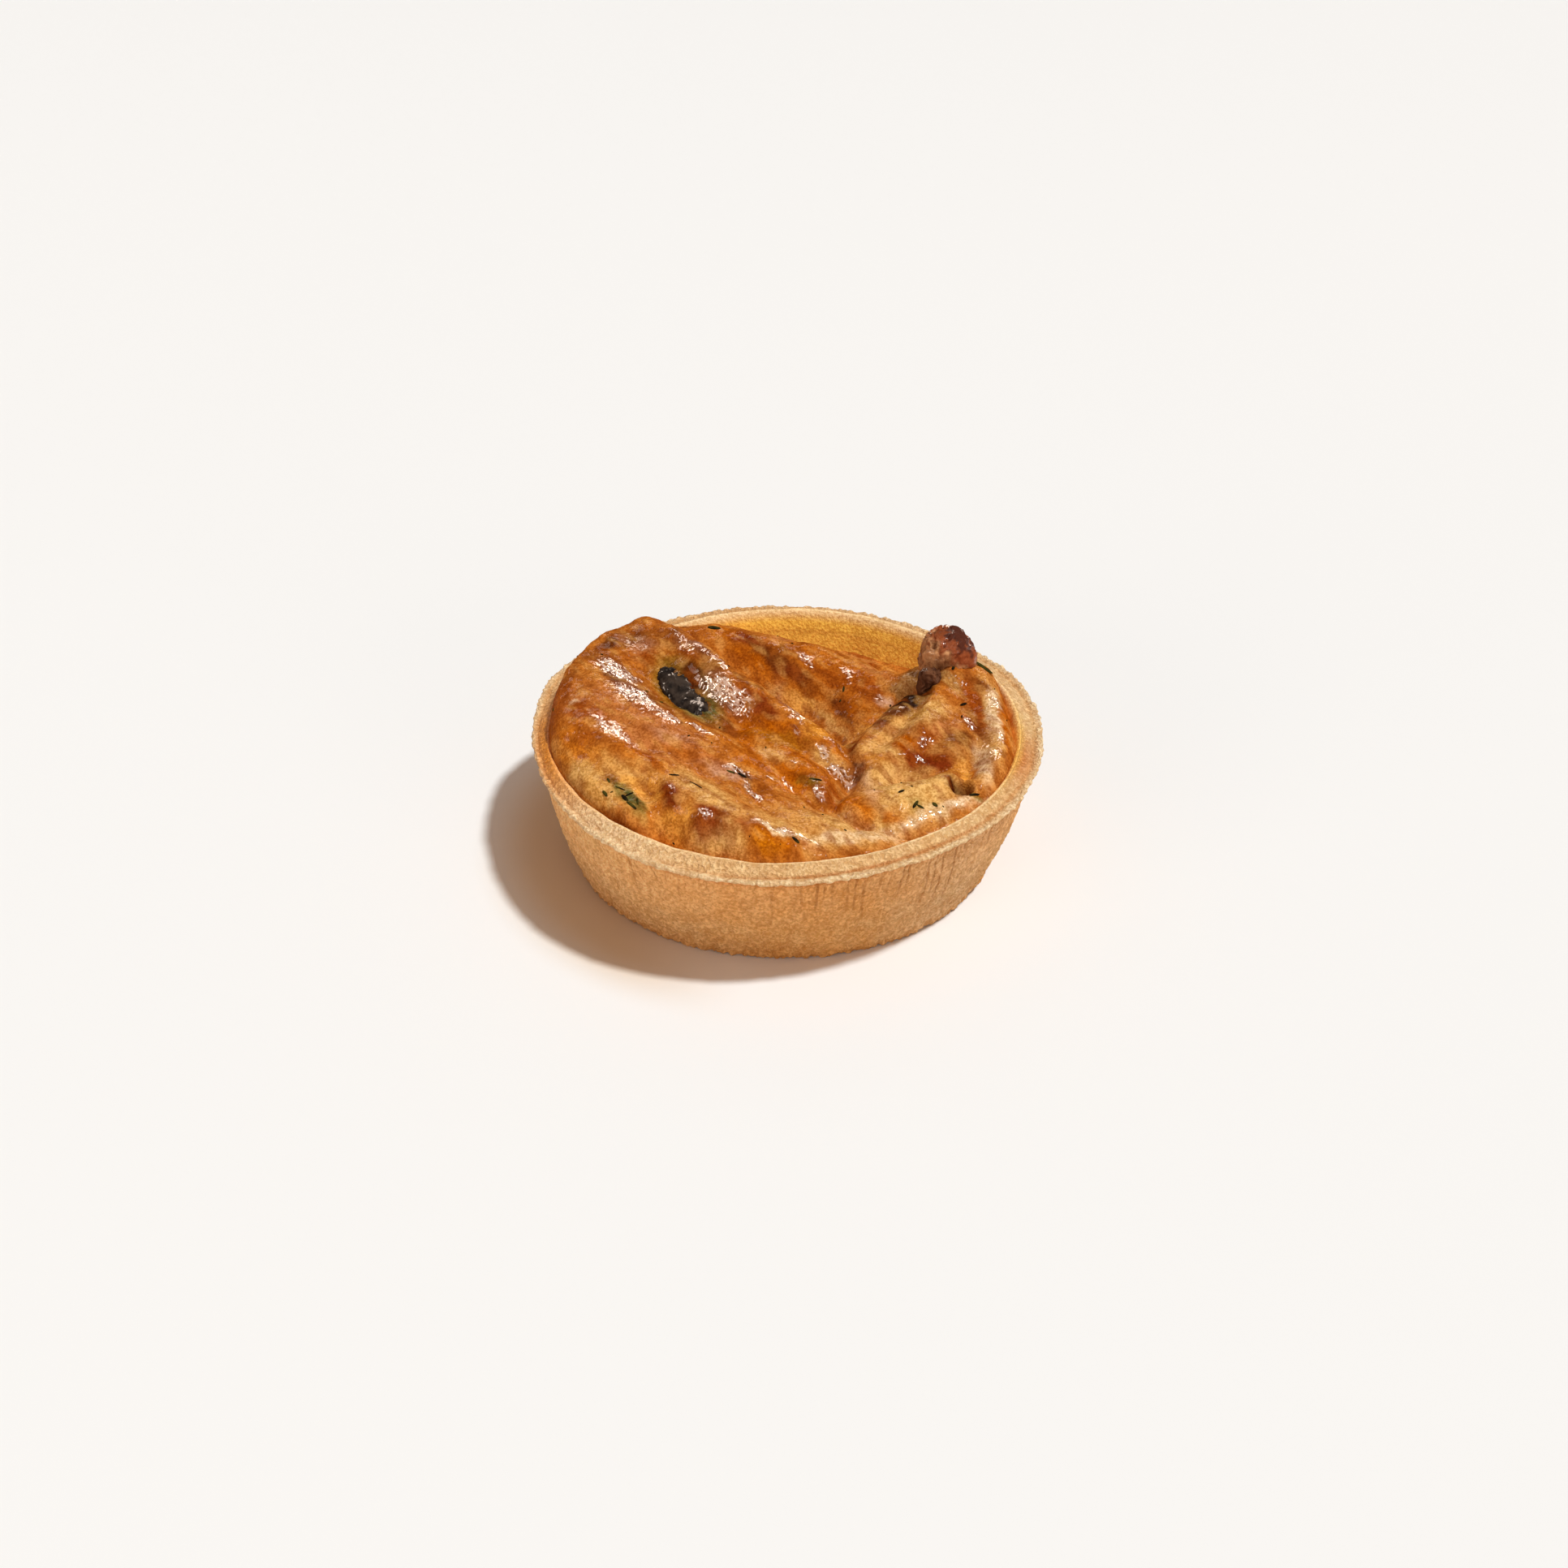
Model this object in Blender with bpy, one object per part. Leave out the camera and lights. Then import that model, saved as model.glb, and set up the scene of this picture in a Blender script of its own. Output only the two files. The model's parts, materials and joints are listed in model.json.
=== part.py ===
"""A baked mini quiche: a shortcrust case, the puffed egg custard in it and three pieces of mushroom.

Blender 4.5, metres, +Z up. The quiche rests on z = 0 with its middle over the origin, and its
front, where the custard is level with the rim, faces -Y. Every size below is in millimetres and
is scaled to metres as a mesh is made.
"""

import math
from collections import namedtuple

import bmesh
import bpy
import numpy as np
from mathutils import Vector, noise

MM = 0.001  # one millimetre in metres

# ---- driving sizes, in millimetres ----

RIM_RADIUS = 37.5  # outer edge of the pastry rim
RIM_HEIGHT = 18.2  # outer edge of the rim above the table
LIP_RADIUS = 33.8  # inner lip, where the pastry turns down into the case
LIP_RISE = 1.0  # the lip stands this much above the outer edge
BASE_RADIUS = 30.4  # the flat that the case stands on
HEEL_RADIUS = 31.5  # the wall where it leaves the rounded heel
HEEL_HEIGHT = 1.9
BELLY = 0.6  # the wall swells by this much half way up
FLOOR_THICKNESS = 3.6
WALL_LEAN = 0.4  # the inner wall runs in by this much for each millimetre down
GAP = 0.3  # between two pieces that touch

AROUND = 144  # facets round the case and the custard's edge
RINGS = AROUND // 6  # rings of the custard's top, each with six more facets than the last


def falloff(distance):
    """1 at a distance of 0, and 0 from 1 on, with no kink."""
    t = np.clip(1.0 - distance, 0.0, 1.0)
    return t * t * (3.0 - 2.0 * t)


def round_the_case(knots, angle_deg):
    """A smooth closed run through (angle, value) knots."""
    angles = [a for a, _ in knots]
    values = [v for _, v in knots]
    count = len(knots)
    angle = angle_deg % 360.0
    i = max(k for k in range(count) if angles[k] <= angle)
    start, end = angles[i], angles[(i + 1) % count] + (360.0 if i == count - 1 else 0.0)
    t = (angle - start) / (end - start)
    before, here = values[i - 1], values[i]
    there, after = values[(i + 1) % count], values[(i + 2) % count]
    cubic = 3 * (here - there) + after - before
    square = 2 * before - 5 * here + 4 * there - after
    return here + 0.5 * t * (there - before + t * (square + t * cubic))


# ---- shortcrust case ----
# Pressed into a thin crimped foil mould, so its wall is ribbed from the rim down,
# and its rim has a crumbly outer edge, a shallow groove and a raised inner lip.

CREASE_DEPTH = 0.9
CRUMB_SIZE = 0.3
CREASE_COUNTS = (36, 23, 61)  # three uneven rows of foil creases beat against each other


def rim_tilt(angle):
    """The whole rim is a little higher at the back than at the front, and never quite level."""
    return 0.5 * math.sin(angle) + 0.1 * math.cos(2 * angle) + 0.18 * math.sin(5 * angle + 0.8)


# How far the outer edge strays from a true circle, round from the right-hand side: the left is trimmed close
RIM_BULGES = (
    (0, 0.2), (25, 0.5), (45, 0.1), (75, -0.35), (105, 0.1), (130, 0.35), (157, 0.6),
    (177, -0.7), (200, -1.2), (222, -0.35), (245, 0.3), (270, 0.15), (300, -0.2), (330, -0.1),
)


def rim_bulge(angle):
    return round_the_case(RIM_BULGES, math.degrees(angle))


def crumble(angle, seed):
    """Small bumps and nicks along the rim's outer edge, as the pastry breaks there."""
    return CRUMB_SIZE * noise.noise(Vector((16 * math.cos(angle), 16 * math.sin(angle), seed)))


def crease(angle, z):
    """Depth of the foil's creases in the wall: deepest below the rim, gone at the heel."""
    row = sum(math.cos(count * angle + 1.7 * k) for k, count in enumerate(CREASE_COUNTS)) / len(CREASE_COUNTS)
    sharp = max(0.0, row + 0.15)
    top = RIM_HEIGHT - 1.4
    fade = min(1.0, max(0.0, (top - z) / 1.5)) * min(1.0, max(0.0, (z - 3.0) / 11.0))
    return CREASE_DEPTH * sharp * fade


def cavity_radius(z, lip_height):
    """Radius of the hollow inside the case at height z."""
    return LIP_RADIUS - WALL_LEAN * (lip_height - z) if z < lip_height else LIP_RADIUS


def lip_height(angle):
    return RIM_HEIGHT + LIP_RISE + rim_tilt(angle)


def case_outline(angle):
    """The (radius, height) run from the base, up the wall, over the rim and down to the floor."""
    edge_z = RIM_HEIGHT + rim_tilt(angle)
    lip_z = lip_height(angle)
    edge_r = RIM_RADIUS + rim_bulge(angle) + crumble(angle, 1.5)
    ledge = edge_r - LIP_RADIUS - 0.75  # from the raised band to the outer edge
    points = [(BASE_RADIUS, 0.0), (HEEL_RADIUS - 0.4, 0.6), (HEEL_RADIUS, HEEL_HEIGHT)]
    for share in (0.17, 0.34, 0.5, 0.66, 0.8, 0.91):
        z = HEEL_HEIGHT + share * (edge_z - HEEL_HEIGHT)
        belly = BELLY * math.sin(math.pi * share)
        radius = HEEL_RADIUS + share * (edge_r - 0.55 - HEEL_RADIUS) + belly
        points.append((radius - crease(angle, z), z))
    points += [
        (edge_r, edge_z - 0.45),  # crumbly outer edge
        (edge_r - 0.15, edge_z + 0.15 + crumble(angle, 4.5)),
        (edge_r - 0.25 * ledge, edge_z + 0.05),
        (edge_r - 0.42 * ledge, edge_z - 0.1),  # groove
        (edge_r - 0.68 * ledge, edge_z + 0.55),
        (LIP_RADIUS + 0.75, lip_z + 0.05),
        (LIP_RADIUS + 0.12, lip_z - 0.1),
    ]
    for depth in (1.5, 4.5, 9.5):
        points.append((cavity_radius(lip_z - depth, lip_z), lip_z - depth))
    corner_z = FLOOR_THICKNESS + 1.3
    corner_r = cavity_radius(corner_z, lip_z)
    points += [(corner_r, corner_z), (corner_r - 1.6, FLOOR_THICKNESS)]
    return points


def add_object(name, mesh_builder, colour, roughness):
    """One named object with its own material, from a bmesh in millimetres."""
    mesh_builder.normal_update()
    bmesh.ops.recalc_face_normals(mesh_builder, faces=mesh_builder.faces)
    bmesh.ops.scale(mesh_builder, vec=Vector((MM, MM, MM)), verts=mesh_builder.verts)
    mesh = bpy.data.meshes.new(name)
    mesh_builder.to_mesh(mesh)
    mesh_builder.free()
    mesh.shade_smooth()
    piece = bpy.data.objects.new(name, mesh)
    bpy.context.scene.collection.objects.link(piece)
    finish = bpy.data.materials.new(name)
    finish.use_nodes = True
    shader = finish.node_tree.nodes["Principled BSDF"]
    shader.inputs["Base Color"].default_value = (*colour, 1.0)
    shader.inputs["Roughness"].default_value = roughness
    shader.inputs["Metallic"].default_value = 0.0
    mesh.materials.append(finish)
    return piece


def pastry_case():
    """The case: its outline turned through a full circle, and closed by a disc above and below."""
    bm = bmesh.new()
    rows = []
    for i in range(AROUND):
        angle = 2 * math.pi * i / AROUND
        rows.append(
            [
                bm.verts.new((radius * math.cos(angle), radius * math.sin(angle), z))
                for radius, z in case_outline(angle)
            ]
        )
    for i, row in enumerate(rows):
        following = rows[(i + 1) % AROUND]
        for k in range(len(row) - 1):
            bm.faces.new((row[k], following[k], following[k + 1], row[k + 1]))
    bm.faces.new([row[0] for row in reversed(rows)])
    bm.faces.new([row[-1] for row in rows])
    return add_object("pastry_case", bm, (0.66, 0.36, 0.14), 0.7)


# ---- egg custard ----
# It rose in the oven and settled in folds that run from the back left to the front right.
# A fold has a spine of (x, y, z) points. It falls by FOLD_FALL at its left and right reach,
# left and right being those of someone who walks the spine from its first point.

FOLD_FALL = 4.0
BLEND = 0.35  # how softly two folds meet
HOLLOW_FLOOR = 14.4  # the custard's lowest level, behind the folds
SOFTNESS = 0.8  # the folds are rounded off over this distance
EDGE_ROLL = 2.3  # width over which the skin turns down to the pastry

Fold = namedtuple("Fold", "name left right spine")

FOLDS = (
    Fold("left_dome", 10.0, 9.5, (
        (-26.0, 18.0, 24.4), (-28.0, 11.5, 24.4), (-27.5, 5, 24.7), (-24, -2, 24.9), (-19, -6.5, 24.2),
        (-13, -10.3, 22.9), (-8.5, -13.3, 21.8), (-5.5, -16, 21.0),
    )),
    Fold("left_wrinkle", 4.0, 6.0, (
        (-30.5, 0, 23.8), (-27, -6.5, 24.3), (-23.5, -11, 24.0), (-19.5, -15, 23.0),
    )),
    Fold("left_head", 6.5, 5.0, (
        (-21.0, 21.5, 24.7), (-20.2, 17, 24.7), (-18, 11.5, 23.7),
        (-14.5, 5.5, 22.4), (-11, 0, 21.4), (-8, -4.5, 20.6),
    )),
    Fold("long_ridge", 3.6, 5.5, (
        (-17, 19, 25.4), (-12.5, 13, 25.4), (-8.5, 7.8, 24.9), (-3.5, 2.2, 24.0), (0.8, -1.8, 22.9),
        (4.8, -5.3, 21.8), (7.4, -8.5, 20.6),
    )),
    Fold("middle_slope", 6.5, 5.0, (
        (-4, -5, 21.5), (0, -10, 20.9), (3.2, -14, 20.4), (5.2, -18.0, 19.8),
    )),
    Fold("corner_swell", 6.0, 6.0, ((-28.5, -10.5, 22.0), (-25, -16.5, 22.0), (-21.5, -22.0, 21.2))),
    Fold("front_ridge", 9.0, 3.8, (
        (-17.9, -15.8, 22.9), (-16.4, -19.7, 23.0), (-14.1, -23.2, 23.0),
        (-11.2, -25.9, 22.8), (-8.4, -27.4, 22.5),
        (-4.9, -28.9, 22.0), (-2.1, -30.2, 21.2), (1.0, -31.2, 20.3), (4.0, -31.9, 19.3),
    )),
    Fold("front_apron", 8.0, 8.0, (
        (-8, -19, 21.0), (-1, -23, 20.5), (4.5, -26.5, 19.9), (10.5, -29, 19.2),
    )),
    Fold("rear_mound", 6.0, 8.5, (
        (-16, 25.5, 20.6), (-10, 26.6, 20.6), (-4.5, 24.8, 20.3),
        (1, 22.4, 20.2), (5.5, 20.4, 20.0), (10, 17.2, 19.8),
        (13.5, 12.5, 19.1), (15.5, 8.5, 18.2),
    )),
    Fold("stub_shoulder", 4.0, 3.0, ((15.0, 14.5, 19.8), (17.8, 11.8, 20.9), (19.8, 9.8, 22.0))),
    Fold("stub_collar", 4.2, 5.5, ((20.8, 12.0, 22.6), (24.5, 12.4, 23.2), (28.8, 11.2, 22.8))),
    Fold("right_fold", 5.0, 3.0, (
        (23.6, 9.0, 23.4), (22.4, 4.0, 23.1), (20.4, -2, 22.6),
        (17.0, -6.6, 21.6), (13.4, -10.4, 20.6), (12, -15, 20.0),
    )),
    Fold("west_fold", 4.0, 5.0, (
        (19.2, 3.8, 22.0), (16.0, -1.2, 21.8), (12.6, -5.6, 21.2), (11.0, -9.5, 20.3),
    )),
    Fold("right_edge", 2.6, 4.2, (
        (28, 11, 22.8), (30, 5.5, 22.6), (30.9, -0.5, 21.9),
        (31.2, -6, 21.1), (30.3, -11, 20.7), (28.4, -15, 20.4),
    )),
    Fold("right_hollow", 5.5, 5.5, (
        (26.5, 7, 22.5), (26.5, 1, 21.8), (24.5, -5, 20.8), (21.0, -10, 20.1),
    )),
    Fold("right_swell", 4.5, 8.5, (
        (9.8, -21.0, 20.0), (14, -19.5, 20.9), (19, -18, 21.0), (23, -15.4, 20.7),
    )),
)

Pit = namedtuple("Pit", "x y radius depth")

PITS = (
    Pit(24.8, -17.0, 1.4, 6.0),  # burst bubble beside the right edge
    Pit(25.6, -13.8, 1.3, 1.6),
    Pit(20.9, -11.0, 2.6, 0.7),  # browned dip
    Pit(17.9, 8.0, 1.4, 3.0),  # dark slot beside the standing mushroom
    Pit(-4.2, -18.6, 1.4, 0.9),  # torn end of the left dome
    Pit(-18.6, -20.6, 1.6, 1.0),
    Pit(-15.6, -23.2, 1.2, -0.5),  # two burnt blisters on the front ridge
    Pit(-11.2, -28.2, 1.3, -0.5),
)

Groove = namedtuple("Groove", "width depth path")

GROOVES = (
    Groove(1.2, 1.8, (  # the long crease that parts the left and right halves
        (18.0, 8.6), (16, 5.7), (12.8, 1.7), (10.1, -3.4),
        (8.9, -8.2), (10.0, -10.3), (9.3, -13.3), (7.5, -17.2),
        (6.9, -20.5), (8.3, -23.4), (11.0, -25.6),
    )),
    Groove(1.8, 0.25, ((-27, 17), (-22.4, 7.8), (-19.3, 2.1), (-15.9, -2.3), (-12.5, -6))),
    Groove(1.2, 0.5, ((11.0, -25.6), (14.5, -24.6), (20.5, -21.2), (24.5, -18.4))),
    Groove(1.7, 0.6, ((-7, 16), (-2, 10.5), (4, 5.5), (9.4, 0))),
    Groove(1.0, 0.25, ((-23, -6.5), (-18, -11.5), (-12, -15), (-7.5, -17))),
    Groove(1.0, 0.4, ((-18.2, -15.5), (-17.6, -19), (-17.4, -23), (-16.6, -26))),
)

# Height at which the custard meets the pastry, round from the right-hand side
EDGE_HEIGHTS = (
    (0, 18.7), (20, 18.6), (35, 17.0), (47, 14.8), (58, 13.9), (72, 14.9), (90, 15.5), (103, 17.4),
    (116, 19.6), (135, 20.6), (160, 20.4), (185, 19.6), (210, 18.4), (235, 18.0), (265, 18.1),
    (300, 18.3), (330, 18.5),
)


def smooth_spine(points, steps=6):
    """The spine as a Catmull-Rom curve, with steps pieces between two of its points."""
    p = np.array(points, float)
    p = np.vstack([2 * p[0] - p[1], p, 2 * p[-1] - p[-2]])
    run = []
    for a, b, c, d in zip(p, p[1:], p[2:], p[3:]):
        for t in np.arange(steps) / steps:
            run.append(b + 0.5 * t * (c - a + t * (2 * a - 5 * b + 4 * c - d + t * (3 * (b - c) + d - a))))
    run.append(p[-2])
    return np.array(run)


def along_the_run(a, b, x, y):
    """For the points x, y: how far along from a to b, how far off, and on which side (-1 right, 1 left)."""
    run = b[:2] - a[:2]
    length = np.hypot(*run)
    from_x, from_y = x - a[0], y - a[1]
    t = np.clip((from_x * run[0] + from_y * run[1]) / length**2, 0.0, 1.0)
    off_x, off_y = from_x - t * run[0], from_y - t * run[1]
    distance = np.hypot(off_x, off_y)
    side = (run[0] * off_y - run[1] * off_x) / (length * np.maximum(distance, 1e-6))
    return t, distance, side


def fold_height(fold, x, y):
    """Height of one fold over the points x, y."""
    spine = smooth_spine(fold.spine)
    best = np.full(x.shape, -1e9)
    for a, b in zip(spine, spine[1:]):
        t, distance, side = along_the_run(a, b, x, y)
        reach = (fold.left + fold.right) / 2 + side * (fold.left - fold.right) / 2
        best = np.maximum(best, a[2] + t * (b[2] - a[2]) - FOLD_FALL * (distance / reach) ** 2)
    return best


def groove_depth(groove, x, y):
    """Depth of one groove at the points x, y."""
    path = smooth_spine(groove.path)
    nearest = np.min([along_the_run(a, b, x, y)[1] for a, b in zip(path, path[1:])], axis=0)
    return groove.depth * falloff(nearest / groove.width)


def soft_noise(x, y, scale, seed):
    """Smooth noise between about -1 and 1 whose lumps are about scale across."""
    return np.array([noise.noise(Vector((a / scale, b / scale, seed))) for a, b in zip(x, y)])


def settled_height(x, y):
    """Height of the folds over the points x, y, with the grooves between them."""
    heights = [fold_height(fold, x, y) for fold in FOLDS] + [np.full(x.shape, HOLLOW_FLOOR)]
    top = np.max(heights, axis=0)
    top = top + BLEND * np.log(sum(np.exp((h - top) / BLEND) for h in heights))
    for groove in GROOVES:
        top = top - groove_depth(groove, x, y)
    return top


def custard_height(x, y, edge_radius, edge_height):
    """Height of the custard's skin over the points x, y."""
    top = settled_height(x, y)
    for turn in np.radians(range(0, 360, 60)):
        top = top + settled_height(x + SOFTNESS * math.cos(turn), y + SOFTNESS * math.sin(turn))
    top = top / 7
    for pit in PITS:
        top = top - pit.depth * falloff(np.hypot(x - pit.x, y - pit.y) / (1.6 * pit.radius))
    top = top + 0.4 * soft_noise(x, y, 5.5, 3.1) + 0.25 * soft_noise(x, y, 2.4, 7.7)
    inwards = np.clip((edge_radius - np.hypot(x, y)) / EDGE_ROLL, 0.0, 1.0)
    roll = np.sqrt(1.0 - (1.0 - inwards) ** 2)
    return edge_height + (top - edge_height) * roll


def edge_height_at(angle):
    return round_the_case(EDGE_HEIGHTS, math.degrees(angle))


def custard_radius(angle, z):
    """The custard fills the case up to GAP from its wall."""
    return cavity_radius(z, lip_height(angle)) - GAP


def custard_body():
    """The custard without its mushrooms and herbs: a skin of rings, a side and a flat underside."""
    bm = bmesh.new()
    places, radii, edges = [(0.0, 0.0)], [LIP_RADIUS], [HOLLOW_FLOOR]
    for ring in range(1, RINGS + 1):
        for i in range(6 * ring):
            angle = 2 * math.pi * i / (6 * ring)
            edge_z = edge_height_at(angle)
            reach = custard_radius(angle, edge_z)
            places.append((reach * ring / RINGS * math.cos(angle), reach * ring / RINGS * math.sin(angle)))
            radii.append(reach)
            edges.append(edge_z)
    x, y = np.array(places).T
    z = custard_height(x, y, np.array(radii), np.array(edges))
    verts = [bm.verts.new(point) for point in zip(x, y, z)]
    first = [0] + [1 + 3 * ring * (ring - 1) for ring in range(1, RINGS + 1)]
    for ring in range(1, RINGS + 1):
        inner_count = max(1, 6 * (ring - 1))
        for sector in range(6):
            for k in range(ring):
                outer = first[ring] + sector * ring + k
                outer_next = first[ring] + (sector * ring + k + 1) % (6 * ring)
                inner = first[ring - 1] + (sector * (ring - 1) + k) % inner_count
                bm.faces.new((verts[inner], verts[outer], verts[outer_next]))
                if k < ring - 1:
                    inner_next = first[ring - 1] + (sector * (ring - 1) + k + 1) % inner_count
                    bm.faces.new((verts[inner], verts[outer_next], verts[inner_next]))
    above = [verts[first[RINGS] + i] for i in range(AROUND)]
    for share in (0.55, 0.12, 0.0):
        below = []
        for i in range(AROUND):
            angle = 2 * math.pi * i / AROUND
            floor_z = FLOOR_THICKNESS + GAP
            height = floor_z + share * (edge_height_at(angle) - floor_z)
            radius = custard_radius(angle, height) - (1.7 if share == 0.0 else 0.0)
            below.append(bm.verts.new((radius * math.cos(angle), radius * math.sin(angle), height)))
        for i in range(AROUND):
            following = (i + 1) % AROUND
            bm.faces.new((above[i], below[i], below[following], above[following]))
        above = below
    bm.faces.new(list(reversed(above)))
    return add_object("custard_filling", bm, (0.62, 0.27, 0.05), 0.4)


# ---- mushroom ----
# A browned stalk stands up at the back right with the dark cut face of a cap against it,
# and a slice lies gills up between the left-hand folds. Each is a run of cross-sections:
# (x, y, z) of its middle, then its half sizes across and through.

Lump = namedtuple("Lump", "name sections colour")

MUSHROOMS = (
    Lump("mushroom_stalk", (
        (24.5, 12.0, 18.0, 2.6, 2.4), (24.5, 12.0, 19.5, 3.7, 3.1), (24.4, 12.0, 22.0, 4.3, 3.4),
        (24.3, 11.9, 24.2, 4.2, 3.4), (24.2, 11.8, 26.0, 3.7, 3.1), (24.2, 11.7, 27.4, 3.0, 2.6),
        (24.1, 11.7, 28.2, 2.3, 2.0), (24.0, 11.7, 28.6, 1.2, 1.1),
    ), (0.16, 0.07, 0.035)),
    Lump("mushroom_cap_end", (
        (21.2, 6.4, 20.0, 0.8, 0.6), (21.2, 6.5, 20.5, 1.4, 1.0), (21.3, 6.7, 22.0, 1.7, 1.1),
        (21.4, 6.9, 23.5, 1.6, 1.1), (21.4, 7.0, 24.4, 1.2, 0.9), (21.4, 7.0, 24.7, 0.6, 0.5),
    ), (0.07, 0.03, 0.02)),
    Lump("mushroom_slice", (
        (-17.6, 10.6, 22.95, 0.6, 0.6), (-17.1, 9.6, 22.4, 1.5, 1.2), (-15.9, 7.4, 21.9, 1.9, 1.5),
        (-14.6, 5.0, 21.1, 1.75, 1.4), (-13.2, 2.8, 20.7, 1.9, 1.5), (-11.9, 0.7, 20.75, 1.5, 1.2),
        (-11.3, -0.3, 20.9, 0.6, 0.6),
    ), (0.03, 0.025, 0.022)),
)
LUMP_SIDES = 20


def lump_mesh(lump, grow=0.0):
    """Cross-sections strung on their run, a little uneven. grow makes the pocket that the lump sits in."""
    bm = bmesh.new()
    sections = [list(section) for section in lump.sections]
    middles = [Vector(section[:3]) for section in sections]
    last = len(middles) - 1
    runs = [(middles[min(i + 1, last)] - middles[max(i - 1, 0)]).normalized() for i in range(last + 1)]
    upright = abs(runs[len(runs) // 2].z) > 0.7
    rings = []
    for i, (section, middle, run) in enumerate(zip(sections, middles, runs)):
        across = run.cross(Vector((0, 1, 0)) if upright else Vector((0, 0, 1))).normalized()
        through = run.cross(across).normalized()
        if i in (0, len(sections) - 1):
            middle = middle + run * grow * (1 if i else -1)
        ring = []
        for k in range(LUMP_SIDES):
            turn = 2 * math.pi * k / LUMP_SIDES
            c, s = math.cos(turn), math.sin(turn)
            blunt = (abs(c) ** 2.5 + abs(s) ** 2.5) ** (-1 / 2.5)
            place = Vector((c, s, 0.9 * i)) + middles[0]
            uneven = 1.0 + 0.09 * noise.noise(place)
            offset = across * c * (section[3] * uneven + grow) + through * s * (section[4] * uneven + grow)
            ring.append(bm.verts.new(middle + offset * blunt))
        rings.append(ring)
    for lower, upper in zip(rings, rings[1:]):
        for k in range(LUMP_SIDES):
            following = (k + 1) % LUMP_SIDES
            bm.faces.new((lower[k], lower[following], upper[following], upper[k]))
    bm.faces.new(list(reversed(rings[0])))
    bm.faces.new(rings[-1])
    return bm


# ---- herb flecks ----
# Chopped leaf baked into the skin, each a thin sliver fused to the custard.

Fleck = namedtuple("Fleck", "x y length heading")

FLECKS = (
    Fleck(-10.7, 27.2, 2.0, 5.0),
    Fleck(30.1, 9.0, 2.8, -62.0),
    Fleck(18.4, -22.2, 1.8, 70.0),
    Fleck(21.8, -21.9, 1.2, -30.0),
    Fleck(26.6, -19.5, 1.8, 25.0),
    Fleck(-21.2, -24.0, 2.0, -35.0),
    Fleck(-24.9, -20.6, 1.5, -60.0),
    Fleck(-15.3, -18.9, 1.9, -5.0),
    Fleck(-11.2, -22.3, 1.9, -50.0),
    Fleck(-5.8, -15.0, 2.2, -35.0),
    Fleck(1.8, -31.5, 1.5, -40.0),
    Fleck(4.2, -16.6, 2.0, -10.0),
    Fleck(9.2, 12.8, 1.2, 75.0),
    Fleck(26.0, 2.6, 1.3, 20.0),
    Fleck(16.5, -19.4, 1.2, 30.0),
)
FLECK_WIDTH = 0.7
FLECK_PROUD = 0.28  # how far a fleck stands out of the skin


def fleck_object(index, fleck):
    """A flattened leaf shape, half sunk in the skin where it lies."""
    angle = math.atan2(fleck.y, fleck.x)
    edge_z = edge_height_at(angle)
    reach = custard_radius(angle, edge_z)
    z = custard_height(np.array([fleck.x]), np.array([fleck.y]), np.array([reach]), np.array([edge_z]))[0]
    bm = bmesh.new()
    bmesh.ops.create_uvsphere(bm, u_segments=6, v_segments=4, radius=1.0)
    heading = math.radians(fleck.heading)
    for vert in bm.verts:
        along, across = vert.co.x * fleck.length / 2, vert.co.y * FLECK_WIDTH / 2
        vert.co = Vector(
            (
                fleck.x + along * math.cos(heading) - across * math.sin(heading),
                fleck.y + along * math.sin(heading) + across * math.cos(heading),
                z + vert.co.z * 3.0 * FLECK_PROUD - 1.6 * FLECK_PROUD,
            )
        )
    return add_object(f"fleck_{index}", bm, (0.03, 0.04, 0.01), 0.5)


def join_by_boolean(piece, others, operation):
    """Unites or cuts piece with others, keeps the result as its mesh and removes the others."""
    helpers = bpy.data.collections.new("helpers")
    bpy.context.scene.collection.children.link(helpers)
    for other in others:
        bpy.context.scene.collection.objects.unlink(other)
        helpers.objects.link(other)
    modifier = piece.modifiers.new(operation, "BOOLEAN")
    modifier.operation = operation
    modifier.operand_type = "COLLECTION"
    modifier.collection = helpers
    modifier.solver = "EXACT"
    graph = bpy.context.evaluated_depsgraph_get()
    result = bpy.data.meshes.new_from_object(piece.evaluated_get(graph))
    piece.modifiers.clear()
    piece.data = result
    for other in list(helpers.objects):
        bpy.data.objects.remove(other)
    bpy.data.collections.remove(helpers)


def quiche():
    for old in list(bpy.data.objects):
        bpy.data.objects.remove(old)
    pastry_case()
    custard = custard_body()
    join_by_boolean(custard, [fleck_object(i, fleck) for i, fleck in enumerate(FLECKS)], "UNION")
    pockets = [
        add_object(f"pocket_{lump.name}", lump_mesh(lump, GAP), lump.colour, 0.5) for lump in MUSHROOMS
    ]
    join_by_boolean(custard, pockets, "DIFFERENCE")
    for lump in MUSHROOMS:
        add_object(lump.name, lump_mesh(lump), lump.colour, 0.5)


quiche()
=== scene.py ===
import json
import math
from collections import namedtuple

import bpy
import numpy as np
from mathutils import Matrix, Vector, noise

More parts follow.
